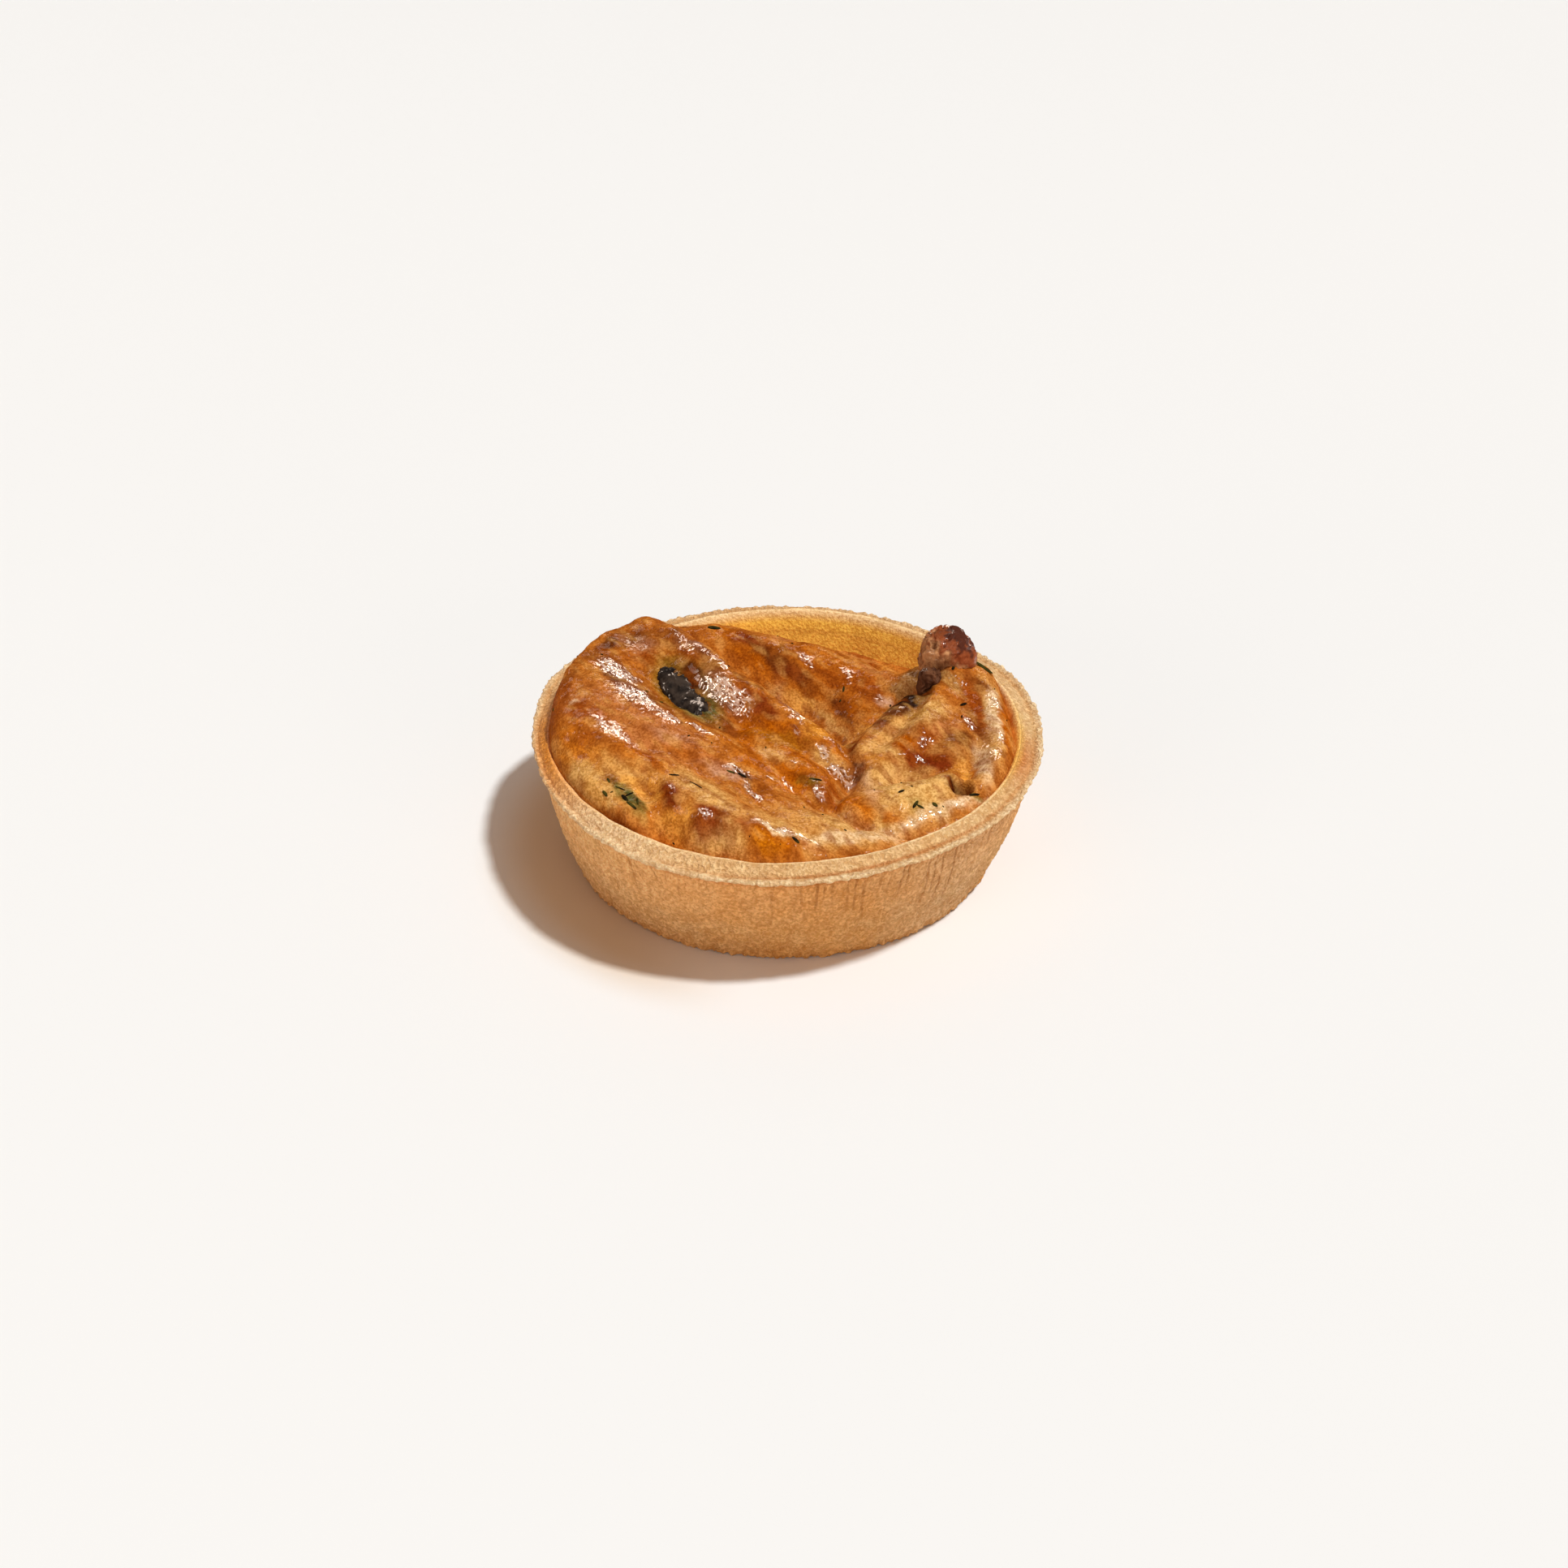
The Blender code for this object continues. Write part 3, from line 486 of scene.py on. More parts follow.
FOLDS = (
    Fold("left_dome", 10.0, 9.5, (
        (-26.0, 18.0, 24.4), (-28.0, 11.5, 24.4), (-27.5, 5, 24.7), (-24, -2, 24.9), (-19, -6.5, 24.2),
        (-13, -10.3, 22.9), (-8.5, -13.3, 21.8), (-5.5, -16, 21.0),
    )),
    Fold("left_wrinkle", 4.0, 6.0, ((-30.5, 0, 23.8), (-27, -6.5, 24.3), (-23.5, -11, 24.0), (-19.5, -15, 23.0))),
    Fold("left_head", 6.5, 5.0, (
        (-21.0, 21.5, 24.7), (-20.2, 17, 24.7), (-18, 11.5, 23.7), (-14.5, 5.5, 22.4), (-11, 0, 21.4), (-8, -4.5, 20.6),
    )),
    Fold("long_ridge", 3.6, 5.5, (
        (-17, 19, 25.4), (-12.5, 13, 25.4), (-8.5, 7.8, 24.9), (-3.5, 2.2, 24.0), (0.8, -1.8, 22.9),
        (4.8, -5.3, 21.8), (7.4, -8.5, 20.6),
    )),
    Fold("middle_slope", 6.5, 5.0, ((-4, -5, 21.5), (0, -10, 20.9), (3.2, -14, 20.4), (5.2, -18.0, 19.8))),
    Fold("corner_swell", 6.0, 6.0, ((-28.5, -10.5, 22.0), (-25, -16.5, 22.0), (-21.5, -22.0, 21.2))),
    Fold("front_ridge", 9.0, 3.8, (
        (-17.9, -15.8, 22.9), (-16.4, -19.7, 23.0), (-14.1, -23.2, 23.0), (-11.2, -25.9, 22.8), (-8.4, -27.4, 22.5),
        (-4.9, -28.9, 22.0), (-2.1, -30.2, 21.2), (1.0, -31.2, 20.3), (4.0, -31.9, 19.3),
    )),
    Fold("front_apron", 8.0, 8.0, ((-8, -19, 21.0), (-1, -23, 20.5), (4.5, -26.5, 19.9), (10.5, -29, 19.2))),
    Fold("rear_mound", 6.0, 8.5, (
        (-16, 25.5, 20.6), (-10, 26.6, 20.6), (-4.5, 24.8, 20.3), (1, 22.4, 20.2), (5.5, 20.4, 20.0), (10, 17.2, 19.8),
        (13.5, 12.5, 19.1), (15.5, 8.5, 18.2),
    )),
    Fold("stub_shoulder", 4.0, 3.0, ((15.0, 14.5, 19.8), (17.8, 11.8, 20.9), (19.8, 9.8, 22.0))),
    Fold("stub_collar", 4.2, 5.5, ((20.8, 12.0, 22.6), (24.5, 12.4, 23.2), (28.8, 11.2, 22.8))),
    Fold("right_fold", 5.0, 3.0, (
        (23.6, 9.0, 23.4), (22.4, 4.0, 23.1), (20.4, -2, 22.6), (17.0, -6.6, 21.6), (13.4, -10.4, 20.6), (12, -15, 20.0),
    )),
    Fold("west_fold", 4.0, 5.0, ((19.2, 3.8, 22.0), (16.0, -1.2, 21.8), (12.6, -5.6, 21.2), (11.0, -9.5, 20.3))),
    Fold("right_edge", 2.6, 4.2, (
        (28, 11, 22.8), (30, 5.5, 22.6), (30.9, -0.5, 21.9), (31.2, -6, 21.1), (30.3, -11, 20.7), (28.4, -15, 20.4),
    )),
    Fold("right_hollow", 5.5, 5.5, ((26.5, 7, 22.5), (26.5, 1, 21.8), (24.5, -5, 20.8), (21.0, -10, 20.1))),
    Fold("right_swell", 4.5, 8.5, ((9.8, -21.0, 20.0), (14, -19.5, 20.9), (19, -18, 21.0), (23, -15.4, 20.7))),
)
PITS = (
    Pit(24.8, -17.0, 1.4, 6.0),  # burst bubble beside the right edge
    Pit(25.6, -13.8, 1.3, 1.6),
    Pit(20.9, -11.0, 2.6, 0.7),  # browned dip
    Pit(17.9, 8.0, 1.4, 3.0),  # dark slot beside the standing mushroom
    Pit(-4.2, -18.6, 1.4, 0.9),  # torn end of the left dome
    Pit(-18.6, -20.6, 1.6, 1.0),
    Pit(-15.6, -23.2, 1.2, -0.5),  # two burnt blisters on the front ridge
    Pit(-11.2, -28.2, 1.3, -0.5),
    Pit(25.8, 9.0, 2.1, -1.3),  # drawn up against the standing mushroom
)
GROOVES = (
    Groove(1.2, 1.8, (  # the long crease that parts the left and right halves
        (18.0, 8.6), (16, 5.7), (12.8, 1.7), (10.1, -3.4), (8.9, -8.2), (10.0, -10.3), (9.3, -13.3), (7.5, -17.2),
        (6.9, -20.5), (8.3, -23.4), (11.0, -25.6),
    )),
    Groove(1.8, 0.25, ((-27, 17), (-22.4, 7.8), (-19.3, 2.1), (-15.9, -2.3), (-12.5, -6))),
    Groove(1.2, 0.5, ((11.0, -25.6), (14.5, -24.6), (20.5, -21.2), (24.5, -18.4))),
    Groove(1.7, 0.6, ((-7, 16), (-2, 10.5), (4, 5.5), (9.4, 0))),
    Groove(1.0, 0.25, ((-23, -6.5), (-18, -11.5), (-12, -15), (-7.5, -17))),
    Groove(1.0, 0.4, ((-18.2, -15.5), (-17.6, -19), (-17.4, -23), (-16.6, -26))),
)
EDGE_HEIGHTS = (
    (0, 18.7), (20, 18.6), (35, 17.0), (47, 14.8), (58, 13.9), (72, 14.9), (90, 15.5), (103, 17.4),
    (116, 18.9), (135, 20.6), (160, 20.4), (185, 19.6), (210, 18.4), (235, 18.0), (265, 18.1), (300, 18.3), (330, 18.5),
)


def edge_height(angle):
    return round_the_case(EDGE_HEIGHTS, angle)


def smooth_run(points, steps=6):
    """A Catmull-Rom curve through the points, with steps pieces between two of them."""
    p = np.array(points, float)
    p = np.vstack([2 * p[0] - p[1], p, 2 * p[-1] - p[-2]])
    run = []
    for a, b, c, d in zip(p, p[1:], p[2:], p[3:]):
        for t in np.arange(steps) / steps:
            run.append(b + 0.5 * t * (c - a + t * (2 * a - 5 * b + 4 * c - d + t * (3 * (b - c) + d - a))))
    run.append(p[-2])
    return np.array(run)


def beside(a, b, x, y):
    """For the points x, y: how far along from a to b, how far off, and on which side (-1 right, 1 left)."""
    run = b[:2] - a[:2]
    length = np.hypot(*run)
    from_x, from_y = x - a[0], y - a[1]
    t = np.clip((from_x * run[0] + from_y * run[1]) / length**2, 0.0, 1.0)
    off_x, off_y = from_x - t * run[0], from_y - t * run[1]
    distance = np.hypot(off_x, off_y)
    return t, distance, (run[0] * off_y - run[1] * off_x) / (length * np.maximum(distance, 1e-6))


def fold_height(fold, x, y):
    spine = smooth_run(fold.spine)
    best = np.full(x.shape, -1e9)
    for a, b in zip(spine, spine[1:]):
        t, distance, side = beside(a, b, x, y)
        across = (fold.left + fold.right) / 2 + side * (fold.left - fold.right) / 2
        best = np.maximum(best, a[2] + t * (b[2] - a[2]) - FOLD_FALL * (distance / across) ** 2)
    return best


def groove_depth(groove, x, y):
    path = smooth_run(groove.path)
    nearest = np.min([beside(a, b, x, y)[1] for a, b in zip(path, path[1:])], axis=0)
    return groove.depth * falloff(nearest / groove.width)


def settled_height(x, y):
    """Height of the folds over the points x, y, with the grooves between them."""
    heights = [fold_height(fold, x, y) for fold in FOLDS] + [np.full(x.shape, HOLLOW_FLOOR)]
    top = np.max(heights, axis=0)
    top = top + BLEND * np.log(sum(np.exp((h - top) / BLEND) for h in heights))
    for groove in GROOVES:
        top = top - groove_depth(groove, x, y)
    return top


def custard_height(x, y):
    """Height of the custard's skin over the points x, y, its edge included."""
    angle = np.arctan2(y, x)
    edge_z = edge_height(angle)
    edge_r = cavity_radius(edge_z, lip_height(angle)) - GAP
    top = settled_height(x, y)
    for turn in np.radians(range(0, 360, 60)):
        top = top + settled_height(x + SOFTNESS * math.cos(turn), y + SOFTNESS * math.sin(turn))
    top = top / 7
    for pit in PITS:
        top = top - pit.depth * falloff(np.hypot(x - pit.x, y - pit.y) / (1.6 * pit.radius))
    flat = np.stack([x, y, np.zeros_like(x)], -1)
    top = top + 0.4 * soft_noise(flat, 5.5, 3.1) + 0.25 * soft_noise(flat, 2.4, 7.7)
    inwards = np.clip((edge_r - np.hypot(x, y)) / EDGE_ROLL, 0.0, 1.0)
    return edge_z + (top - edge_z) * np.sqrt(1.0 - (1.0 - inwards) ** 2)


# The skin: rings of points, each with six more than the last, so the facets stay alike
ring_of = np.concatenate([[0]] + [np.full(6 * k, k) for k in range(1, CUSTARD_RINGS + 1)])
step_of = np.concatenate([[0]] + [np.arange(6 * k) for k in range(1, CUSTARD_RINGS + 1)])
angle_of = 2 * math.pi * step_of / np.maximum(6 * ring_of, 1)
edge_z_of = edge_height(angle_of)
edge_r_of = cavity_radius(edge_z_of, lip_height(angle_of)) - GAP
custard_x = edge_r_of * ring_of / CUSTARD_RINGS * np.cos(angle_of)
custard_y = edge_r_of * ring_of / CUSTARD_RINGS * np.sin(angle_of)
custard_z = custard_height(custard_x, custard_y)
custard_z[ring_of == CUSTARD_RINGS] = edge_z_of[ring_of == CUSTARD_RINGS]
custard_points = np.stack([custard_x, custard_y, custard_z], -1)
first = [0] + [1 + 3 * k * (k - 1) for k in range(1, CUSTARD_RINGS + 1)]
custard_faces = []
for ring in range(1, CUSTARD_RINGS + 1):
    inner_count = max(1, 6 * (ring - 1))
    for sector in range(6):
        for k in range(ring):
            outer = first[ring] + sector * ring + k
            outer_next = first[ring] + (sector * ring + k + 1) % (6 * ring)
            inner = first[ring - 1] + (sector * (ring - 1) + k) % inner_count
            custard_faces.append((inner, outer, outer_next))
            if k < ring - 1:
                inner_next = first[ring - 1] + (sector * (ring - 1) + k + 1) % inner_count
                custard_faces.append((inner, outer_next, inner_next))
edge_count = 6 * CUSTARD_RINGS
edge_angles = 2 * math.pi * np.arange(edge_count) / edge_count
above = first[CUSTARD_RINGS] + np.arange(edge_count)
side_points = []
for share in (0.75, 0.12, 0.0):
    floor_z = FLOOR_THICKNESS + GAP
    level = floor_z + share * (edge_height(edge_angles) - floor_z)
    radius = cavity_radius(level, lip_height(edge_angles)) - GAP - (1.9 if share == 0.0 else 0.0)
    below = len(custard_points) + edge_count * len(side_points) + np.arange(edge_count)
    side_points.append(np.stack([radius * np.cos(edge_angles), radius * np.sin(edge_angles), level], -1))
    custard_faces += np.stack([above, below, np.roll(below, -1), np.roll(above, -1)], -1).tolist()
    above = below
custard_faces.append(above[::-1].tolist())
custard_points = np.vstack([custard_points] + side_points)
custard = mesh_piece("browned_custard", custard_points, custard_faces)

# Where the oven browned it, and where it stayed pale, with painted shadow in the slot beside the standing mushroom and
# a painted highlight along the front ridge. Each patch is an uneven oval:
# its middle, its half length and half width, the way its length points, its tint and how strong it is.
Patch = namedtuple("Patch", "x y long wide heading tint strength")

TINTS = {
    "soot_and_shadow": screen(58, 32, 16),
    "burnt": screen(94, 40, 14),
    "umber": screen(128, 66, 24),
    "garnet": screen(138, 58, 18),
    "russet": screen(162, 78, 20),
    "ember": screen(206, 114, 22),
    "amber": screen(188, 98, 10),
    "ochre": screen(164, 100, 20),
    "saffron": screen(216, 132, 20),
    "honey": screen(222, 146, 58),
    "tan": screen(190, 114, 56),
    "rose": screen(200, 140, 92),
    "straw": screen(217, 157, 82),
    "cream": screen(230, 182, 122),
    "plum": screen(146, 92, 58),
    "taupe": screen(176, 122, 62),
    "olive": screen(136, 104, 34),
    "herb": screen(92, 86, 40),
}
PATCHES = (
    # broad grounds
    Patch(-21.5, -6.4, 17, 6, -40, "tan", 0.5), Patch(-24.9, -16.4, 10.5, 4, -45, "honey", 0.55),
    Patch(6.2, -27.2, 13.5, 5, 10, "straw", 0.8), Patch(19, -18.7, 9.5, 3.5, 25, "straw", 0.8),
    Patch(-1.4, -9.3, 11.5, 5.5, -45, "amber", 0.65), Patch(4.3, 16.8, 15.5, 5, -25, "amber", 0.5),
    Patch(21.6, -4.9, 8, 4, -50, "taupe", 0.5), Patch(29.9, -3.3, 14, 2.4, 85, "straw", 0.8),
    Patch(14.6, -2.2, 10.5, 3, -70, "straw", 0.6), Patch(17.1, -18.5, 7.5, 3.4, -30, "straw", 0.8),
    # the left dome
    Patch(-26.1, 15.7, 3.5, 1.2, 55, "burnt", 0.8), Patch(-24.2, 9.5, 4.5, 1.5, -60, "umber", 0.6),
    Patch(-20.6, 12.5, 4, 1.4, -15, "russet", 0.8), Patch(-18.2, 8.3, 4, 1.6, -90, "ochre", 0.7),
    Patch(-32.8, 1.8, 7, 2.2, 90, "russet", 0.6), Patch(-28.6, -10.9, 7, 2.4, -55, "ember", 0.6),
    Patch(-28.2, -4.5, 4.5, 2, -50, "russet", 0.8), Patch(-18.2, -16, 5.5, 1.5, -35, "ember", 0.6),
    Patch(-15.2, -10.3, 5, 1.5, -25, "rose", 0.5), Patch(-28.4, 11.4, 4, 1.6, -35, "umber", 0.4),
    Patch(-22.9, 3.9, 9, 2.6, -65, "plum", 0.75), Patch(-17.3, -6.1, 6.5, 2.2, -30, "tan", 0.7),
    Patch(-23.2, -9, 5, 2, -30, "tan", 0.6), Patch(-30.2, -1.3, 0.8, 0.6, -90, "cream", 0.8),
    Patch(-27.1, -10.2, 3, 1.2, -40, "russet", 0.6), Patch(-21.8, -14, 4.5, 1.6, -25, "amber", 0.8),
    Patch(-27.7, -16.7, 4, 1.6, -50, "straw", 0.8), Patch(-8.8, -15, 4.5, 1.5, -25, "rose", 0.75),
    Patch(-5.6, -15.9, 2, 0.7, -50, "soot_and_shadow", 0.75), Patch(-4.5, -19.2, 3, 1.2, -70, "garnet", 0.95),
    Patch(-13, -12.4, 5, 1.6, -20, "amber", 0.55), Patch(-18.7, -16, 4.5, 1.3, -80, "russet", 0.7),
    # the front left, mottled where herbs lie just under the skin
    Patch(-26.4, -19.5, 4, 1.3, -55, "honey", 0.7), Patch(-21.8, -19.3, 8, 3.6, -55, "straw", 0.6),
    Patch(-23.3, -19, 3, 1.2, -55, "olive", 0.5), Patch(-24.1, -21.5, 2.5, 1, -70, "straw", 0.6),
    Patch(-20.7, -22.6, 3, 1.5, -50, "olive", 0.65), Patch(-20.7, -19, 2.5, 1.2, -35, "honey", 0.7),
    Patch(-17.5, -24.7, 2.5, 1.4, -60, "amber", 0.8),
    # the ridge along the front, with its two burnt blisters
    Patch(-17.7, -20.4, 3, 1.2, -85, "honey", 0.9), Patch(-15.4, -25, 3.5, 1.6, -50, "ember", 0.9),
    Patch(-15.5, -23.1, 2.5, 1.5, -75, "garnet", 1), Patch(-10.8, -22.7, 8, 3, -50, "straw", 0.8),
    Patch(-10.3, -27.9, 3.5, 1.7, -20, "garnet", 1), Patch(-5.1, -29.6, 3, 1.2, -15, "russet", 0.8),
    Patch(-14.1, -27.7, 4.5, 2, -35, "honey", 0.9), Patch(-7.9, -30.2, 4, 1.8, -20, "straw", 0.7),
    # the thin cream strip at -1, -30 is a painted highlight along the front ridge's edge
    Patch(-1.6, -31.7, 4, 1.7, -15, "amber", 0.9), Patch(-1, -30, 4, 0.6, -15, "cream", 0.8),
    Patch(3.4, -31.6, 2, 1, -10, "tan", 0.7), Patch(9.6, -28.7, 7, 1.4, 15, "cream", 0.6),
    # the valley with the mushroom slice
    Patch(-8.4, -2.7, 4, 1.8, -60, "umber", 0.8), Patch(-16.4, 3.5, 6, 1.6, -75, "ochre", 0.7),
    Patch(-17.6, 0.3, 5, 1.5, -55, "umber", 0.6), Patch(-12.2, -2.5, 4, 1.4, -35, "umber", 0.7),
    Patch(-14.2, 4.6, 8, 2.8, -60, "olive", 0.6), Patch(-12.4, 6.6, 3.5, 1.2, -60, "umber", 0.7),
    Patch(-5.2, -3.6, 4, 1.6, -55, "amber", 0.8), Patch(-22.1, 16.1, 4, 1.6, -35, "rose", 0.7),
    Patch(-16.8, 23.2, 5.5, 1.6, 40, "russet", 0.5),
    # the long ridge
    Patch(-14.2, 14.1, 4.5, 1.6, -50, "plum", 0.6), Patch(-11.2, 9.2, 4.5, 1.3, -65, "umber", 0.85),
    Patch(-14.1, 10.6, 3.5, 1.2, -65, "russet", 0.7), Patch(-9.3, 3.6, 5, 1.8, -55, "rose", 0.7),
    Patch(-5.3, 13.1, 5.5, 0.7, 20, "straw", 0.9), Patch(-5.5, 2.7, 4, 1.6, -50, "russet", 0.6),
    Patch(-2.8, -0.9, 3.5, 1.6, -45, "garnet", 0.8), Patch(1, 5.3, 10, 1.4, -80, "rose", 0.8),
    Patch(3.5, 11.8, 2, 1.2, -35, "straw", 0.7), Patch(5.9, -2.2, 5, 2.2, -5, "honey", 0.95),
    Patch(4.2, -5.3, 3.5, 1.6, -25, "saffron", 0.5), Patch(-0.8, -4.5, 3.5, 1.4, -35, "amber", 0.8),
    Patch(7, 7.3, 5, 0.7, -55, "straw", 0.8),
    # the middle slope
    Patch(-1.9, -9.8, 3, 1.6, -45, "straw", 0.7), Patch(6.2, -10.1, 3.5, 1.6, -30, "straw", 0.65),
    Patch(1.3, -14, 3.5, 1.4, -50, "amber", 0.8), Patch(-5.1, -12.5, 3, 1.2, -35, "amber", 0.6),
    Patch(-0.2, -6.7, 6, 1.6, -25, "ochre", 0.6), Patch(2.4, -17.2, 4, 1.3, -25, "ember", 0.7),
    Patch(6.9, -7.9, 2.5, 1.2, -20, "ember", 0.6), Patch(4.6, -17.4, 3.5, 1.2, -75, "umber", 0.5),
    Patch(7, -17.9, 4, 1.6, -60, "russet", 0.75), Patch(3.2, -16, 2, 1, -50, "olive", 0.6),
    Patch(10.2, -12, 3, 0.8, -80, "burnt", 0.9), Patch(9.7, -1.9, 7, 0.9, -85, "umber", 0.8),
    # the mound at the back
    Patch(-5.4, 23.6, 3.5, 1.6, -35, "garnet", 0.9), Patch(-8.9, 25.9, 3, 1.4, -60, "amber", 0.6),
    Patch(4.2, 26.3, 9.5, 1.4, 20, "tan", 0.8), Patch(-0.2, 18.5, 4.5, 1.6, -40, "umber", 0.75),
    Patch(1.6, 16.5, 4, 1.2, -35, "garnet", 0.6), Patch(7.5, 14.2, 4, 1.2, -50, "russet", 0.6),
    Patch(12.9, 27.3, 4, 1.2, -45, "russet", 0.8), Patch(2.2, 12.5, 4, 1.2, -35, "honey", 0.7),
    Patch(-5.1, 19.9, 4, 1.4, -40, "amber", 0.7), Patch(9.3, 8.5, 4, 1.2, -60, "umber", 0.9),
    Patch(12.1, 5.7, 6, 1.6, -60, "amber", 0.7), Patch(12.5, 11.5, 5, 2, -55, "russet", 0.7),
    Patch(17.3, 18.8, 10, 1.8, -75, "honey", 0.7), Patch(13.5, 15.9, 4, 1.4, -55, "tan", 0.7),
    Patch(15.2, 8.1, 1.5, 0.9, -35, "rose", 0.8),
    # round the standing mushroom
    Patch(18.3, 9.9, 3.5, 1.8, -20, "taupe", 0.95), Patch(24, 7.1, 4, 1.6, -45, "taupe", 0.8),
    Patch(28.3, 6.7, 3.5, 1.4, -55, "umber", 0.7),
    # the right-hand folds
    Patch(15.9, 0.2, 4, 1.7, 40, "plum", 0.95), Patch(16.1, -0.5, 2.5, 1, 40, "umber", 0.8),
    Patch(20.2, -1.2, 5, 2.4, 30, "straw", 0.85), Patch(19.1, -1.2, 2, 1.2, 25, "ochre", 0.7),
    Patch(13.9, 1.2, 4.5, 1.6, -45, "honey", 0.8), Patch(14.1, -8.5, 4.5, 2.2, -20, "straw", 0.7),
    Patch(17.5, -8.4, 3, 1.6, -50, "amber", 0.9), Patch(20.7, -10.1, 4.5, 2, -10, "garnet", 0.95),
    Patch(20.5, -6.4, 2.5, 1.4, 35, "russet", 0.8), Patch(23.4, -3.6, 3.5, 1.6, 35, "tan", 0.7),
    Patch(27.6, 1.1, 6.5, 1.6, -85, "russet", 0.9), Patch(28, 0.8, 3, 1, -90, "garnet", 0.8),
    Patch(25.5, -5.6, 3, 1.6, -35, "umber", 0.85), Patch(30.6, -0.2, 6.5, 1.2, -90, "cream", 0.8),
    Patch(32.2, -1.1, 10, 0.9, 85, "amber", 0.9), Patch(28.3, -11.2, 5.5, 1.4, -85, "cream", 0.7),
    Patch(24.8, -11, 3, 1.1, 60, "honey", 0.7), Patch(22.4, -16.5, 2.5, 1.2, 30, "straw", 0.8),
    Patch(26.1, -12.5, 3.5, 1, 90, "amber", 0.9), Patch(25.7, -13, 3.5, 1, -90, "honey", 0.9),
    Patch(24.2, -17.3, 2.5, 1.2, -70, "burnt", 1),
    # the lump at the front right, with the burst bubble
    Patch(11.6, -16.3, 5.5, 1.2, -80, "rose", 0.8), Patch(10, -22.3, 3.5, 1.5, -45, "ember", 0.9),
    Patch(16.8, -18, 6.5, 2.6, -50, "straw", 0.6), Patch(18.2, -22.2, 1.5, 1.2, -25, "olive", 0.85),
    Patch(20.9, -21.8, 0.6, 0.6, 0, "soot_and_shadow", 0.8), Patch(26.7, -18.6, 1, 0.7, 20, "olive", 0.7),
    Patch(21.2, -22.5, 8, 1.2, 30, "cream", 0.85), Patch(10.7, -24.8, 3, 1.2, -35, "tan", 0.7),
    Patch(14.8, -24.2, 1.5, 1, -10, "amber", 0.7), Patch(12.5, -11.7, 3, 1.2, -85, "honey", 0.7),
    # small dark and burnt accents, with painted shadow in the slot beside the standing mushroom, over everything else
    Patch(18.3, 2.4, 5, 2, 45, "soot_and_shadow", 1), Patch(18.3, 3.1, 4, 1.4, 45, "soot_and_shadow", 1),
    Patch(-10.3, -29, 2.5, 1, -20, "russet", 0.8), Patch(-9.5, -30.4, 4, 1.4, -20, "straw", 0.7),
    Patch(-21.1, 17.2, 7, 2.2, -25, "umber", 0.5), Patch(15.5, -0.6, 3.5, 1.4, 35, "umber", 0.7),
    Patch(16, -18.4, 9.5, 3.4, -45, "straw", 0.45), Patch(20.7, -10.2, 3, 1.4, -20, "garnet", 0.9),
    Patch(27.5, 0.7, 6.5, 1.7, -80, "russet", 0.9), Patch(28, -2.8, 3.5, 1.3, -75, "umber", 0.6),
    Patch(18.8, 5.6, 2.5, 1, 50, "soot_and_shadow", 1), Patch(16.8, -18.6, 7.5, 3.2, -40, "straw", 0.4),
    Patch(-27.9, -17.4, 5.5, 2, -55, "straw", 0.4), Patch(16.4, -12.6, 5, 1.7, 5, "straw", 0.8),
    Patch(-0.2, 21, 4, 1.2, -25, "umber", 0.4), Patch(4.2, -5.3, 2.5, 1.2, -20, "honey", 0.6),
    Patch(1.9, -26.5, 4.5, 2.2, -25, "amber", 0.3), Patch(-2.3, -31.8, 3, 1.2, -25, "saffron", 0.35),
    Patch(-10.2, -29, 2.5, 1.1, -20, "garnet", 0.6), Patch(-14.4, 5.2, 7.8, 3.7, -60, "olive", 0.8),
    Patch(-23.1, 16.6, 3.5, 1.2, 50, "umber", 0.6), Patch(-15.1, 20.1, 6.5, 1.1, 75, "burnt", 0.45),
    Patch(-13.9, 9.1, 2.5, 0.9, -50, "burnt", 0.8), Patch(-31.1, 6.1, 4.5, 1.1, 75, "umber", 0.4),
    Patch(-25.3, 6.1, 5, 1.1, -65, "burnt", 0.5), Patch(-3, 20.5, 3, 1.2, -45, "burnt", 0.55),
    Patch(-5.8, 4.8, 4, 0.8, -40, "umber", 0.6), Patch(3.4, 14.6, 3, 1.2, -45, "umber", 0.5),
    Patch(-14.4, 5.2, 6.4, 3.1, -60, "burnt", 0.85), Patch(-12.2, 1.0, 3.2, 2.5, -60, "herb", 0.8),
    Patch(-20.9, -22.2, 2.2, 1.2, -50, "herb", 0.9), Patch(-23.4, -19.4, 1.6, 0.9, -60, "herb", 0.7),
)
skin_flat = custard_points * (1, 1, 0)
drift_x = 0.9 * soft_noise(skin_flat, 2.6, 11.0) + 0.4 * soft_noise(skin_flat, 0.9, 13.0)
drift_y = 0.9 * soft_noise(skin_flat, 2.6, 17.0) + 0.4 * soft_noise(skin_flat, 0.9, 19.0)
blotch = soft_noise(skin_flat, 1.3, 23.0)
custard_ground = screen(190, 110, 38)
custard_colour = np.tile(custard_ground, (len(custard_points), 1))
for patch in PATCHES:
    heading = math.radians(patch.heading)
    dx, dy = custard_points[:, 0] + drift_x - patch.x, custard_points[:, 1] + drift_y - patch.y
    along = (dx * math.cos(heading) + dy * math.sin(heading)) / patch.long
    across = (dy * math.cos(heading) - dx * math.sin(heading)) / patch.wide
    share = patch.strength * np.clip(1.6 * falloff(np.hypot(along, across) / 1.35), 0.0, 1.0)
    custard_colour = mix(custard_colour, TINTS[patch.tint], share * (1.0 + 0.3 * blotch))
custard_colour = custard_ground * (custard_colour / custard_ground) ** 1.3
from_edge = edge_r_of - np.hypot(custard_x, custard_y)
from_edge = np.concatenate([from_edge, np.zeros(3 * edge_count)])
around = np.degrees(np.arctan2(custard_points[:, 1], custard_points[:, 0])) % 360
left_front = falloff(np.abs((around - 232 + 180) % 360 - 180) / 55)
turn = math.radians(-50)
